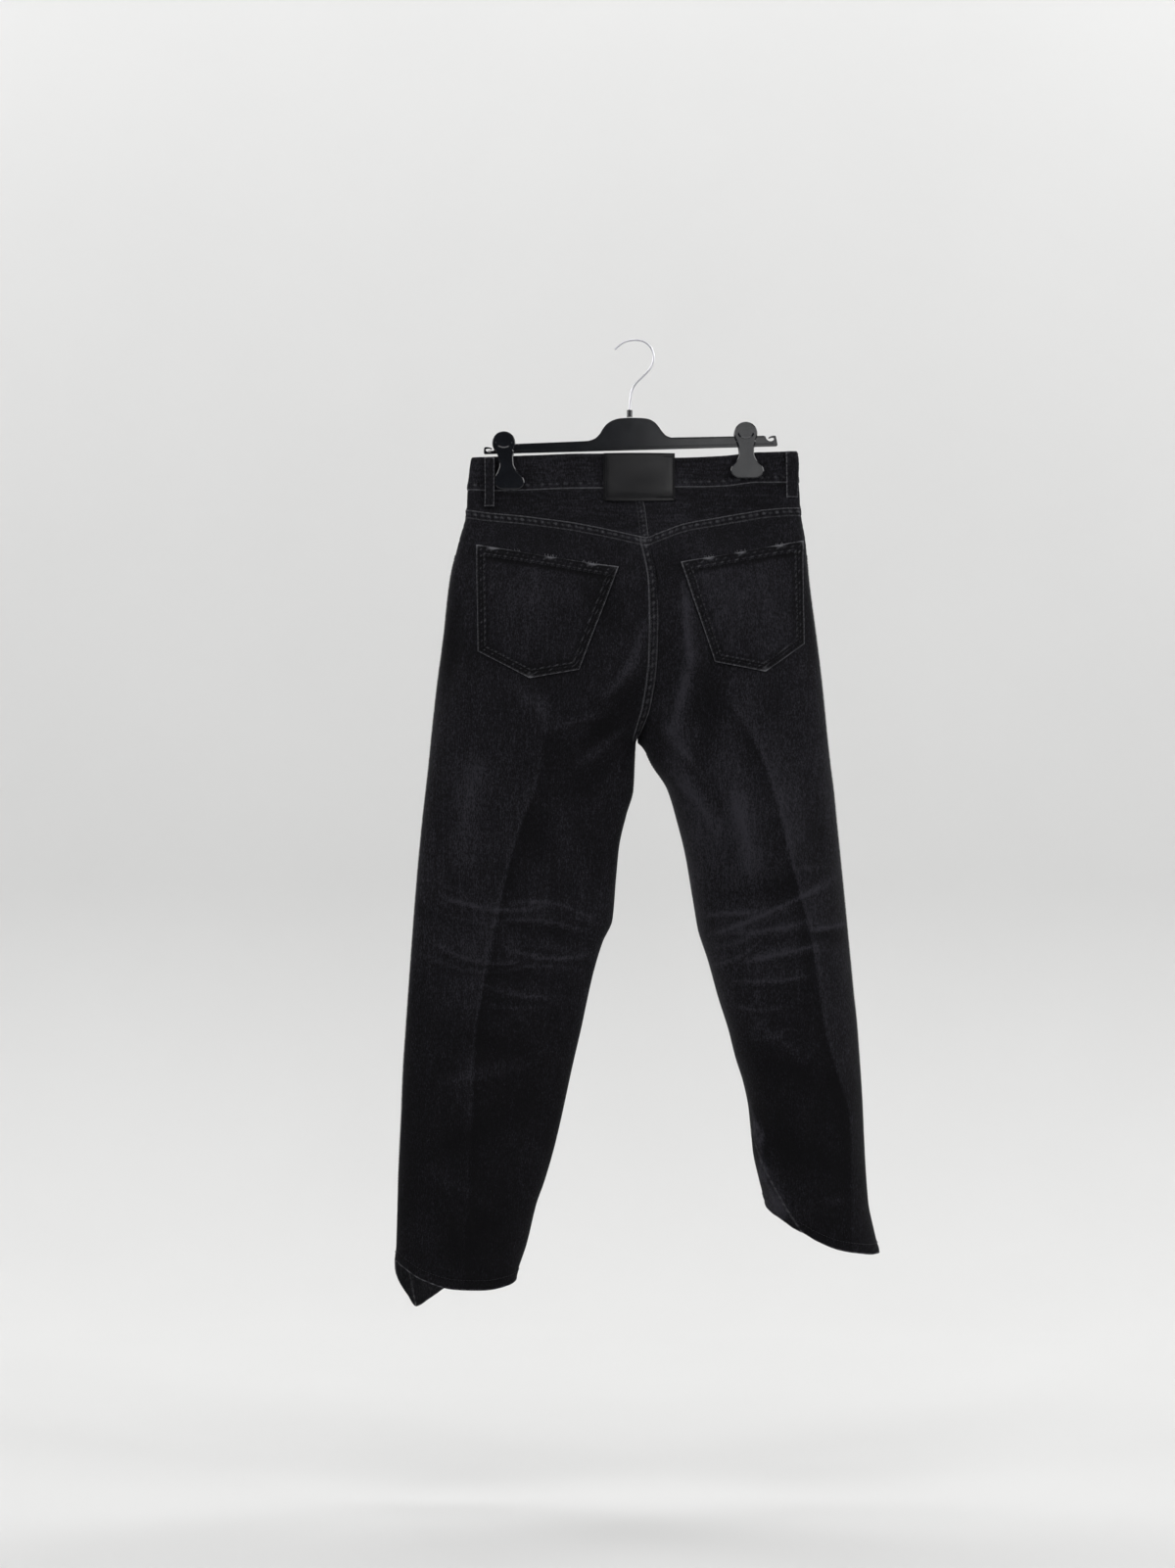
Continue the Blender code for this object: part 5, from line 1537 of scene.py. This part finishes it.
def belt_loop(name, side, x, top, foot):
    """Belt loop arched off the waistband between its two bartacks."""
    rows = 44
    columns = 11
    down = np.linspace(0.0, 1.0, rows)[:, None]
    across = np.linspace(-0.5, 0.5, columns)[None, :]
    z = top + (foot - top) * down + 0.0 * across
    seam = BACK_SEAM(top) if side == "back" else FRONT_SEAM(top)
    half = LEFT if x >= seam else RIGHT
    middle = angle_at(half, np.full(z.shape, x), z, side)
    angle = middle + across * LOOP_WIDTH / millimetres_per_degree(half, middle, z)
    arch = LOOP_ARCH * np.sin(math.pi * down) ** 0.6
    edge = np.abs(across) * 2.0
    hems = 0.35 * np.sin(math.pi * np.clip(edge * 1.25, 0.0, 1.0))
    rounded = 0.5 * np.clip((edge - 0.8) / 0.2, 0.0, 1.0) ** 2
    twist = 0.25 * (pucker(z, 6.0 * across, 7.0) - 0.5)
    out = BAND_PROUD + 2.0 * LAY_GAP + LOOP_WALL + arch + hems - rounded + twist
    points, normals, fade_and_shading = cloth_points(half, angle, z, out)
    wear = 0.75 * line_of(edge, 1.0, 0.16) * (0.5 + pucker(z, 0.0, 5.0))
    ends = np.minimum(down, 1.0 - down) * abs(foot - top)
    wear = wear + 0.5 * line_of(ends, 0.0, 1.8)
    materials = (DENIM, DENIM_INSIDE)
    sewn_grid(name, points, normals, LOOP_WALL, fade_and_shading, wear, materials)


def patch():
    """Bare patch, with soft turned edges, on the band and the yoke seams."""
    across = np.linspace(0.0, 1.0, 46)[None, :]
    down = np.linspace(0.0, 1.0, 30)[:, None]
    x = PATCH_LEFT + (PATCH_RIGHT - PATCH_LEFT) * across + 0.0 * down
    z = PATCH_TOP + (PATCH_FOOT - PATCH_TOP) * down + 0.8 * np.sin(2.4 * across + 0.5) * (1.0 - 2.0 * down)
    low = np.minimum(z, BAND_TOP(x) + 2.0)
    points = np.zeros(x.shape + (3,))
    for half, mine in split_at(x, BACK_SEAM(low)):
        angle = np.minimum(angle_at(half, x, low, "back"), end_angle(low) - 0.3)
        points[mine] = skin(half, angle, low)[mine]
    points[..., 2] = z
    edge = np.minimum(
        np.minimum(across, 1.0 - across) * (PATCH_LEFT - PATCH_RIGHT),
        np.minimum(down, 1.0 - down) * (PATCH_TOP - PATCH_FOOT),
    )
    rounded = -0.7 * (1.0 - np.clip(edge / 1.6, 0.0, 1.0)) ** 2
    dimple = 0.1 * np.sin(x / 15.0 + 0.7) * np.sin(z / 12.0 + 0.2) * soft((edge - 3.0) / 9.0)
    groove = -0.3 * line_of(edge, 3.0, 0.9)
    band_step = 0.3 * soft((z - BAND_FOOT(x) + 10.0) / 20.0)
    points[..., 1] += BAND_PROUD + LAY_GAP + PATCH_WALL + 0.6 + rounded + dimple + groove + band_step
    normals = np.zeros_like(points)
    normals[..., 1] = 1.0
    plain = np.zeros(x.shape)
    sewn_grid("patch", points, normals, PATCH_WALL, plain, plain, (LEATHER,))


# Sewing: each stitch is a short bar of thread, pointed at its ends


def stitches(name, runs, material, thick=STITCH_HALF):
    """Thread bars from (centres, along, normals, length) runs, all in one piece."""
    points = []
    faces = []
    count = 0
    for centres, along, normals, length in runs:
        side = np.cross(normals, along)
        parts = [centres - along * 0.5 * length]
        for shift in (-0.32, 0.32):
            ring = centres + along * length * shift
            for offset in (side, normals * 1.3, -side, -normals):
                parts.append(ring + offset * thick)
        parts.append(centres + along * 0.5 * length)
        points.append(np.stack(parts, axis=1).reshape(-1, 3))
        first = count + 10 * np.arange(len(centres))[:, None]
        for k in range(4):
            n = (k + 1) % 4
            faces += (first + np.array([[0, 1 + n, 1 + k]])).tolist()
            faces += (first + np.array([[1 + k, 1 + n, 5 + n, 5 + k]])).tolist()
            faces += (first + np.array([[5 + k, 5 + n, 9]])).tolist()
        count += 10 * len(centres)
    obj = mesh_object(name, np.vstack(points), faces, (material,))
    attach(obj, "root")


def resampled(line, values, pitch):
    """Columns of values at places pitch apart along a line of points."""
    steps = np.linalg.norm(np.diff(line, axis=0), axis=1)
    run = np.concatenate(([0.0], np.cumsum(steps)))
    count = max(2, int(run[-1] / pitch))
    at = (np.arange(count) + 0.5) * run[-1] / count
    return [np.interp(at, run, column) for column in np.transpose(values)]


def run_on(side, line, out, pitch=STITCH_PITCH, length=STITCH_LENGTH):
    """Stitches along a line of x and z on the front or back, out from the creased face."""
    line = np.array(line, dtype=float)
    x, z = resampled(line, line, pitch)
    seam = BACK_SEAM(z) if side == "back" else FRONT_SEAM(z)
    centres = np.zeros((len(x), 3))
    normals = np.zeros((len(x), 3))
    for half, mine in split_at(x, seam):
        limit = end_angle(z[mine]) - 0.2
        angle = np.clip(angle_at(half, x[mine], z[mine], side), -limit, limit)
        centres[mine], normals[mine] = cloth_points(half, angle, z[mine], out)[:2]
    return finish_run(centres, normals, length)


def run_round(half, angle, z, out):
    """Stitches along a line of angles and heights round a half."""
    values = np.stack((angle, z), axis=1)
    angle, z = resampled(skin(half, angle, z), values, STITCH_PITCH)
    centres, normals = cloth_points(half, angle, z, out)[:2]
    return finish_run(centres, normals, STITCH_LENGTH)


def finish_run(centres, normals, length):
    """A run of stitches with unit directions along it and out of the cloth."""
    along = np.gradient(centres, axis=0)
    along /= np.maximum(np.linalg.norm(along, axis=1, keepdims=True), 1e-6)
    normals = normals - along * np.sum(normals * along, axis=1, keepdims=True)
    normals /= np.maximum(np.linalg.norm(normals, axis=1, keepdims=True), 1e-6)
    return centres, along, normals, length


def inset(corners, away):
    """Outline of corners moved in by away."""
    result = []
    middle = np.mean(corners, axis=0)
    for k, here in enumerate(corners):
        moved = []
        for a, b in ((corners[k - 1], here), (here, corners[(k + 1) % len(corners)])):
            run = np.subtract(b, a) / np.linalg.norm(np.subtract(b, a))
            inner = np.array((-run[1], run[0]))
            if np.dot(inner, middle - here) < 0.0:
                inner = -inner
            moved.append((a + inner * away, run))
        (p, r), (q, s) = moved
        cross = r[0] * s[1] - r[1] * s[0]
        t = ((q[0] - p[0]) * s[1] - (q[1] - p[1]) * s[0]) / cross
        result.append(tuple(p + r * t))
    return result


def beside(seam, top, foot, count, aside):
    """Line of x and z that runs aside a centre seam between two heights."""
    z = np.linspace(top, foot, count)
    return np.stack((seam(z) + aside, z), axis=1)


def seam_runs():
    """Rows of stitches on the seams, the pockets, the hems and the fly."""
    runs = []
    back_x = np.linspace(206.0, -202.0, 120)
    for below in (2.2, 9.4):
        runs.append(run_on("back", np.stack((back_x, YOKE_LINE(back_x) - below), axis=1), 0.9))
    for top, foot, count in ((-246.0, -478.0, 90), (-198.0, -236.0, 12)):
        for aside in (2.0, 9.0):
            runs.append(run_on("back", beside(BACK_SEAM, top, foot, count, aside), 1.0))
    for corners in (LEFT_POCKET, RIGHT_POCKET):
        out = LAY_GAP + POCKET_WALL + 0.62
        for away in (2.0, 8.6):
            moved = inset(list(corners.values()), away)
            runs.append(run_on("back", moved[1:] + moved[:1], out))
        moved = inset(list(corners.values()), 12.0)
        runs.append(run_on("back", moved[:2], out + 0.2))
    for name, half in HALVES.items():
        turn = np.linspace(-179.0, 179.0, 240)
        runs.append(run_round(half, turn, half["hem"](turn) + 12.2, 0.75))
        low = -1108.0 if name == "left" else -1050.0
        z = np.linspace(-262.0, low, 260)
        start = column_ends(half, z, True)[0]
        for aside in (1.8, 8.6):
            runs.append(run_round(half, start + aside / millimetres_per_degree(half, start, z), z, 0.75))
        z = np.linspace(-505.0, low, 200)
        stop = column_ends(half, z, False)[1]
        for aside in (1.8, 7.6):
            runs.append(run_round(half, stop + aside / millimetres_per_degree(half, stop, z), z, 0.7))
        for more in (2.2, 8.4):
            runs.append(run_on("front", scoop_outline(half, more, 24), 0.25))
    for aside in (2.0, 8.0):
        runs.append(run_on("front", beside(FRONT_SEAM, -345.0, -470.0, 40, aside), 0.6))
    top = float(BAND_FOOT(0.0)) - 2.0
    edge = float(FRONT_SEAM(top)) + 1.0 + FLY_WIDTH
    foot = top - FLY_LENGTH + 3.0
    low = float(FRONT_SEAM(foot)) + 7.5
    for aside in (3.0, 9.0):
        curve = [(edge - aside, top), (edge - aside, foot + 46.0)]
        for i in range(1, 8):
            turn = math.radians(90.0 - 11.25 * i)
            x = low + (edge - aside - low) * math.sin(turn)
            curve.append((x, foot + aside * 0.4 + (FLY_WIDTH + 8.0) * (1.0 - math.cos(turn))))
        runs.append(run_on("front", curve, LAY_GAP + FLY_WALL + 0.5))
    return runs


def band_runs():
    """Rows of stitches round the waistband, where no clip or patch covers it."""
    runs = []
    for half, start, stop in ((LEFT, -62.0, 84.0), (RIGHT, -84.0, 88.0)):
        turn = np.linspace(start, stop, 160)
        for edge, shift in ((BAND_TOP, -3.4), (BAND_FOOT, 3.4), (BAND_FOOT, 9.6)):
            z = np.full(turn.shape, BAND_LEVEL)
            for _ in range(3):
                z = edge(skin(half, turn, z)[:, 0]) + shift
            x = skin(half, turn, z)[:, 0]
            clear = np.abs(x - half["clip"]) > CLIP_HALF - 2.0
            clear &= ~((x < PATCH_LEFT + 2.0) & (x > PATCH_RIGHT - 2.0) & (turn > 0.0))
            for block in np.split(np.arange(len(turn)), np.flatnonzero(np.diff(clear.astype(int))) + 1):
                if len(block) > 3 and clear[block[0]]:
                    runs.append(run_round(half, turn[block], z[block], BAND_PROUD + 0.3))
    return runs


def patch_runs():
    """Stitches along the ends of the patch."""
    runs = []
    face = BAND_PROUD + LAY_GAP + PATCH_WALL + 1.1
    for x in (PATCH_LEFT - 2.6, PATCH_RIGHT + 2.6):
        runs.append(run_on("back", [(x, PATCH_TOP - 4.0), (x, PATCH_FOOT + 3.0)], face, 3.2, 2.4))
    return runs


def tack(side, x, z, width, tall, out):
    """Bartack: close parallel stitches across a short bar."""
    count = max(4, int(width / 0.75))
    runs = []
    for k in range(count):
        at = x - 0.5 * width + width * (k + 0.5) / count
        line = [(at, z - 0.5 * tall), (at, z + 0.5 * tall)]
        runs.append(run_on(side, line, out, 0.55 * tall, 0.62 * tall))
    return runs


def tacks():
    """Bartacks of the belt loops, of one end of the patch and of the pocket tops."""
    runs = []
    loop_out = BAND_PROUD + 2.0 * LAY_GAP + LOOP_WALL + 0.65
    for _, side, x, top, foot in BELT_LOOPS:
        for z in (foot + 3.0, top - 3.0):
            runs += tack(side, x, z, LOOP_WIDTH * 0.9, 2.2, loop_out)
    patch_out = BAND_PROUD + LAY_GAP + PATCH_WALL + 1.3
    for x in (-30.0, -36.5, -43.0):
        for z in (PATCH_TOP - 4.0, PATCH_FOOT + 3.4):
            runs += tack("back", x, z, 6.6, 2.2, patch_out)
    for corners, inwards in ((LEFT_POCKET, -6.0), (RIGHT_POCKET, 6.0)):
        for corner, aside, below in (("outer top", inwards, 2.8), ("inner top", -inwards, 1.6)):
            x, z = corners[corner]
            runs += tack("back", x + aside, z - below, 8.5, 2.0, LAY_GAP + POCKET_WALL + 0.9)
    return runs


def frays():
    """Loose pale threads at the worn tops of the back pockets."""
    runs = []
    for corners, share, number in FRAYS:
        x0, z0 = corners["outer top"]
        x1, z1 = corners["inner top"]
        for k in range(number):
            at = share + 0.012 * (k - 0.5 * number)
            x = x0 + (x1 - x0) * at
            z = z0 + (z1 - z0) * at
            lean = 1.6 * math.sin(2.3 * k + 5.0 * share)
            line = [(x, z - 1.4), (x + lean, z + 1.2 + 0.8 * math.sin(1.7 * k))]
            runs.append(run_on("back", line, LAY_GAP + POCKET_WALL + 0.55, 1.3, 1.7))
    return runs


# Metal and plastic


def hard_piece(name, points, faces, material, node=None, sharp=50.0):
    """Hard piece made as a mesh, in place of a solid where node names one."""
    obj = mesh_object(name, points, faces, (material,), sharp=sharp)
    mesh = bmesh.new()
    mesh.from_mesh(obj.data)
    bmesh.ops.recalc_face_normals(mesh, faces=mesh.faces[:])
    mesh.to_mesh(obj.data)
    mesh.free()
    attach(obj, "root")
    if node:
        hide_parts(node)


def ring_faces(rings, count):
    """Faces between closed rings of count points each, with a flat face at each end."""
    faces = []
    for low in range(0, (rings - 1) * count, count):
        for k in range(count):
            n = (k + 1) % count
            faces.append((low + k, low + n, low + count + n, low + count + k))
    faces.append(tuple(reversed(range(count))))
    faces.append(tuple((rings - 1) * count + k for k in range(count)))
    return faces


def button():
    """Turned waistband button with a raised rim and a dished middle."""
    low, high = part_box("button")
    x = 500.0 * (low.x + high.x)
    z = 500.0 * (low.z + high.z)
    tall = 1000.0 * (high.y - low.y)
    full = BUTTON_RADIUS
    profile = (
        (4.2, 0.0),
        (4.2, 0.9),
        (full - 1.0, 1.0),
        (full - 0.2, 1.4),
        (full, 2.0),
        (full - 0.15, tall - 0.3),
        (full - 0.8, tall),
        (full - 1.7, tall - 0.1),
        (full - 2.2, tall - 0.6),
        (full - 3.4, tall - 0.75),
        (2.4, tall - 0.5),
        (1.0, tall - 0.25),
        (0.3, tall - 0.2),
    )
    steps = 48
    points = []
    for radius, rise in profile:
        for spot_x, spot_z in arc(x, z, radius, 0.0, 360.0, steps)[:-1]:
            points.append((spot_x, 1000.0 * high.y - rise, spot_z))
    faces = ring_faces(len(profile), steps)
    hard_piece("turned_button", points, faces, GUNMETAL, "button", sharp=40.0)


def rib(name, outline, thick, middle_y, rounding):
    """Low moulded rib in the XZ plane with rounded edges."""
    curve = bpy.data.curves.new(name, "CURVE")
    curve.dimensions = "2D"
    curve.fill_mode = "BOTH"
    curve.extrude = (0.5 * thick - rounding) * MM
    curve.bevel_depth = rounding * MM
    curve.bevel_resolution = 2
    curve.offset = -rounding * MM
    line = curve.splines.new("POLY")
    line.points.add(len(outline) - 1)
    for spot, (x, z) in zip(line.points, outline):
        spot.co = (x * MM, z * MM, 0.0, 1.0)
    line.use_cyclic_u = True
    shape = bpy.data.objects.new(name + "_outline", curve)
    bpy.context.scene.collection.objects.link(shape)
    shape.rotation_euler = (math.radians(90.0), 0.0, 0.0)
    shape.location = (0.0, middle_y * MM, 0.0)
    bpy.context.view_layer.update()
    graph = bpy.context.evaluated_depsgraph_get()
    data = bpy.data.meshes.new_from_object(shape.evaluated_get(graph))
    data.transform(shape.matrix_world)
    bpy.data.objects.remove(shape)
    data.name = name
    data.materials.clear()
    data.materials.append(PLASTIC)
    mesh = bmesh.new()
    mesh.from_mesh(data)
    bmesh.ops.remove_doubles(mesh, verts=mesh.verts[:], dist=2e-6)
    bmesh.ops.recalc_face_normals(mesh, faces=mesh.faces[:])
    mesh.to_mesh(data)
    mesh.free()
    data.shade_smooth()
    data.set_sharp_from_angle(angle=math.radians(35.0))
    obj = bpy.data.objects.new(name, data)
    bpy.context.scene.collection.objects.link(obj)
    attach(obj, "root")


def arc(x, z, radius, start, stop, steps):
    """Points of x and z along an arc between two angles in degrees."""
    points = []
    for i in range(steps + 1):
        turn = math.radians(start + (stop - start) * i / steps)
        points.append((x + radius * math.cos(turn), z + radius * math.sin(turn)))
    return points


def bar_edge(x):
    """Top and bottom of the straight parts of the hanger bar."""
    bottom = -133.4 - 0.0272 * x
    top = (-121.9 - 0.040 * (x - 50.0)) if x > 0.0 else (-118.0 - 0.019 * (x + 42.0))
    return top, bottom


def smooth_path(points, steps):
    """Points along a Catmull-Rom curve through the given ones."""
    spots = np.array([points[0]] + list(points) + [points[-1]], dtype=float)
    result = []
    for i in range(1, len(spots) - 2):
        a, b, c, d = spots[i - 1], spots[i], spots[i + 1], spots[i + 2]
        for k in range(steps):
            t = k / steps
            cubic = (2.0 * a - 5.0 * b + 4.0 * c - d) * t * t + (3.0 * b - a - 3.0 * c + d) * t**3
            result.append(0.5 * (2.0 * b + (c - a) * t + cubic))
    result.append(spots[-1])
    return [tuple(spot) for spot in result]


def inward(path, away):
    """A path moved by away to its right-hand side."""
    spots = np.array(path, dtype=float)
    run = np.gradient(spots, axis=0)
    run /= np.maximum(np.linalg.norm(run, axis=1, keepdims=True), 1e-9)
    return [tuple(spot) for spot in spots + away * np.stack((-run[:, 1], run[:, 0]), axis=1)]


def hanger_bar():
    """Bar with its raised middle and notched ends, and a low rib along each edge of each face."""
    top = [(170.0, bar_edge(170.0)[0])] + [(x, bar_edge(x)[0]) for x in np.linspace(160.0, 66.0, 12)]
    top += smooth_path(BAR_HUMP, 4)
    top += [(x, bar_edge(x)[0]) for x in np.linspace(-50.0, -156.0, 12)]
    outline = top + smooth_path(RIGHT_NOTCH, 4)
    outline += [(-171.6, bar_edge(-171.6)[1]), (186.0, bar_edge(186.0)[1])]
    outline += smooth_path(LEFT_NOTCH, 4)[::-1]
    moulded("moulded_bar", outline, BAR_ROUNDING, "hanger_bar")
    foot = [(x, bar_edge(x)[1]) for x in np.linspace(182.0, -168.0, 40)]
    rim = inward(top, 0.2) + inward(top, 1.7)[::-1]
    rail = inward(foot, -3.0) + inward(foot, -3.9)[::-1]
    for side, label in ((1.0, "back"), (-1.0, "front")):
        middle_y = side * (BAR_HALF + 0.15)
        rib("bar_rim_" + label, rim, 0.9, middle_y, 0.3)
        rib("bar_rail_" + label, rail, 0.8, middle_y, 0.25)


def jaw_outline(sizes):
    """Outline of a jaw: a round head, a neck and a foot with two lobes."""
    head_x, head_z = sizes["head"]
    foot = sizes["foot"]
    scale = (head_z - foot) / CLIP_TALL
    right = []
    left = []
    for up, half_width in JAW_SHAPE:
        axis = sizes["x"] + (head_x - sizes["x"]) * up / CLIP_TALL
        z = foot + up * scale
        right.append((axis - half_width * sizes["wide"], z))
        left.append((min(axis + half_width * sizes["wide"], JAW_REACH), z))
    head = arc(head_x, head_z, CLIP_HEAD_RADIUS, -38.0, 218.0, 48)
    return head + smooth_path(right, 4) + smooth_path(left[::-1], 4)


def moulded(name, outline, levels, node):
    """Plate from rings of its outline, each moved in and to a y, with flat faces at the ends."""
    spots = np.array(outline)
    run = np.roll(spots, -1, axis=0) - np.roll(spots, 1, axis=0)
    run /= np.linalg.norm(run, axis=1, keepdims=True)
    inner = np.stack((-run[:, 1], run[:, 0]), axis=1)
    turning = np.sum(spots[:, 0] * np.roll(spots[:, 1], -1) - spots[:, 1] * np.roll(spots[:, 0], -1))
    inner = inner if turning > 0.0 else -inner
    points = []
    for away, y in levels:
        ring = spots + inner * away
        points.append(np.stack((ring[:, 0], np.full(len(ring), y), ring[:, 1]), axis=1))
    faces = ring_faces(len(levels), len(spots))
    hard_piece(name, np.vstack(points), faces, PLASTIC, node)


def dish_lip(name, centre_x, centre_z, face, side):
    """Raised lower lip of the dished thumb rest on a clip's head, thin at its ends."""
    steps = 40
    points = []
    for share in np.linspace(0.0, 1.0, steps + 1):
        turn = math.radians(178.0 + 184.0 * share)
        rise = 0.05 + 0.85 * max(0.0, math.sin(math.pi * share)) ** 0.6
        for wide, tall, height in LIP_SECTION:
            x = centre_x + wide * math.cos(turn)
            z = centre_z + 0.6 + tall * math.sin(turn)
            points.append((x, side * (face + (rise if height is None else height)), z))
    faces = ring_faces(steps + 1, len(LIP_SECTION))
    hard_piece(name, points, faces, PLASTIC, sharp=20.0)


def clip(sizes):
    """Two jaws of a clip, either side of the waistband."""
    outline = jaw_outline(sizes)
    inside = CLIP_FACE + BAND_PROUD + LAY_GAP
    face = inside + JAW_ROUNDING[-1][1]
    for side, label in ((1.0, "back"), (-1.0, "front")):
        node = "clip_%s_%s_jaw" % (sizes["name"], label)
        levels = [(away, side * (inside + height)) for away, height in JAW_ROUNDING]
        moulded("moulded_" + node, outline, levels, node)
        dish_lip("clip_lip_%s_%s" % (sizes["name"], label), *sizes["head"], face, side)


def hook():
    """Bent wire hook."""
    path = smooth_path(HOOK_PATH, 12)
    curve = bpy.data.curves.new("bent_wire", "CURVE")
    curve.dimensions = "3D"
    curve.bevel_depth = HOOK_RADIUS * MM
    curve.bevel_resolution = 6
    curve.use_fill_caps = True
    line = curve.splines.new("POLY")
    line.points.add(len(path) - 1)
    for spot, (x, z) in zip(line.points, path):
        spot.co = (x * MM, 0.0, z * MM, 1.0)
    obj = bpy.data.objects.new("bent_wire", curve)
    bpy.context.scene.collection.objects.link(obj)
    curve.materials.append(STEEL)
    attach(obj, "root")
    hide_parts("hanger_hook")


def zip_teeth():
    """Closed metal zip teeth down the middle of the tape, on its inner side."""
    points = []
    faces = []
    low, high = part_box("zip")
    top = 1000.0 * high.z - 4.0
    foot = 1000.0 * low.z + 5.0
    count = int((top - foot) / TOOTH_PITCH)
    cube = [(0, 1, 3, 2), (4, 6, 7, 5), (0, 4, 5, 1), (2, 3, 7, 6), (0, 2, 6, 4), (1, 5, 7, 3)]
    for k in range(count):
        z = top - TOOTH_PITCH * k
        x = float(FRONT_SEAM(z)) + (1.1 if k % 2 else -1.1)
        half = LEFT if k % 2 else RIGHT
        angle = float(angle_at(half, np.array([x]), np.array([z]), "front")[0])
        centre = skin(half, np.array([angle]), np.array([z]))[0]
        y = centre[1] + PANEL_WALL + 2.0 * LAY_GAP + FACING_WALL + 0.8
        first = len(points)
        for dx in (-1.5, 1.5):
            for dy in (-0.9, 0.9):
                for dz in (-0.55, 0.55):
                    points.append((x + dx, y + dy, z + dz))
        faces += [tuple(first + n for n in side) for side in cube]
    hard_piece("zip_teeth", points, faces, GUNMETAL, sharp=30.0)


def dress_solids():
    """Finishes on the solids whose own shape is right."""
    finishes = {
        "clip_left_saddle": PLASTIC,
        "clip_right_saddle": PLASTIC,
        "hanger_collar": PLASTIC,
        "zip": TAPE,
    }
    for name, material in finishes.items():
        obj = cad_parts[name]
        if isinstance(obj, str):
            obj = bpy.data.objects[obj]
        for slot in obj.material_slots:
            slot.material = material


# Surroundings, lights and camera


def backdrop():
    """Pale floor that curves up into a pale wall behind."""
    floor = -1.42
    wall = -1.9
    bend = 0.7
    profile = [(3.6, floor), (wall + bend, floor)]
    for i in range(1, 25):
        turn = 0.5 * math.pi * i / 24
        profile.append((wall + bend - bend * math.sin(turn), floor + bend - bend * math.cos(turn)))
    profile.append((wall, 2.6))
    points = []
    for x in (-5.0, 5.0):
        points += [(x, y, z) for y, z in profile]
    count = len(profile)
    faces = [(k, k + 1, count + k + 1, count + k) for k in range(count - 1)]
    data = bpy.data.meshes.new("backdrop")
    data.from_pydata(points, [], faces)
    data.materials.append(PALE)
    data.shade_smooth()
    obj = bpy.data.objects.new("backdrop", data)
    bpy.context.scene.collection.objects.link(obj)


# Lights, in metres and watts. Columns: name, place, what it faces, width, height, power.
LEG_MIDDLE = (0.0, 0.0, -0.6)
AREA_LIGHTS = (
    ("Left softbox", (2.8, 1.5, 0.8), LEG_MIDDLE, 1.5, 2.0, 44.0),
    ("Right softbox", (-2.8, 1.5, 0.8), LEG_MIDDLE, 1.5, 2.0, 54.0),
    ("Overhead softbox", (0.0, 1.3, 2.3), LEG_MIDDLE, 2.6, 1.2, 22.0),
    ("Reflection card", (-0.36, 4.0, 0.30), (-0.1, 0.0, -0.15), 0.44, 0.6, 1.8),
    ("Upper card", (-0.52, 3.9, 1.0), (-0.05, 0.0, -0.18), 0.6, 0.7, 2.6),
    ("Front left softbox", (2.4, -1.6, 1.0), LEG_MIDDLE, 1.5, 2.0, 44.0),
    ("Front right softbox", (-2.4, -1.6, 1.0), LEG_MIDDLE, 1.5, 2.0, 44.0),
    ("Wall light", (0.0, -0.7, 2.3), (0.0, -1.9, -0.3), 3.4, 0.8, 34.0),
)


def area_light(name, place, target, width, height, power):
    """Oblong light that the camera doesn't see."""
    data = bpy.data.lights.new(name, "AREA")
    data.shape = "RECTANGLE"
    data.size = width
    data.size_y = height
    data.energy = power
    obj = bpy.data.objects.new(name, data)
    bpy.context.scene.collection.objects.link(obj)
    obj.location = place
    obj.rotation_euler = (Vector(target) - Vector(place)).to_track_quat("-Z", "Y").to_euler()
    obj.visible_camera = False


def light():
    """Dim even light from all round, a pale view behind, and the area lights."""
    world = bpy.data.worlds.new("Pale room")
    bpy.context.scene.world = world
    world.use_nodes = True
    nodes = world.node_tree.nodes
    links = world.node_tree.links
    glow = nodes["Background"]
    glow.inputs["Color"].default_value = (1.0, 1.0, 1.0, 1.0)
    glow.inputs["Strength"].default_value = 0.05
    view = nodes.new("ShaderNodeBackground")
    view.inputs["Color"].default_value = (0.68, 0.68, 0.675, 1.0)
    ray = nodes.new("ShaderNodeLightPath")
    mix = nodes.new("ShaderNodeMixShader")
    links.new(ray.outputs["Is Camera Ray"], mix.inputs[0])
    links.new(glow.outputs[0], mix.inputs[1])
    links.new(view.outputs[0], mix.inputs[2])
    links.new(mix.outputs[0], nodes["World Output"].inputs["Surface"])
    for row in AREA_LIGHTS:
        area_light(*row)


def camera():
    """Level camera in front of the back of the jeans."""
    data = bpy.data.cameras.new("Camera")
    data.sensor_fit = "VERTICAL"
    data.sensor_height = 36.0
    data.sensor_width = 36.0
    data.lens = 74.95
    obj = bpy.data.objects.new("Camera", data)
    bpy.context.scene.collection.objects.link(obj)
    obj.location = (0.060, 4.0, -0.5424)
    obj.rotation_euler = (math.radians(90.0), 0.0, math.radians(180.0))
    bpy.context.scene.camera = obj
    bpy.context.scene.view_settings.view_transform = "Standard"


for half_name in HALVES:
    leg_panel(half_name, True, *BACK_GRID)
    leg_panel(half_name, False, *FRONT_GRID)
    yoke(half_name, *YOKE_GRID)
    pocket_facing(half_name)
waistband(*BAND_GRID)
back_pocket("left", LEFT_POCKET, *LEFT_POCKET_GRID)
back_pocket("right", RIGHT_POCKET, *RIGHT_POCKET_GRID)
fly()
patch()
for row in BELT_LOOPS:
    belt_loop(*row)
stitches("stitching", seam_runs() + band_runs() + patch_runs(), THREAD)
stitches("bartacks", tacks(), BAR_TACK)
stitches("loose_threads", frays(), PALE_THREAD, FRAY_HALF)
button()
zip_teeth()
hanger_bar()
clip(LEFT_CLIP)
clip(RIGHT_CLIP)
hook()
dress_solids()
backdrop()
light()
camera()
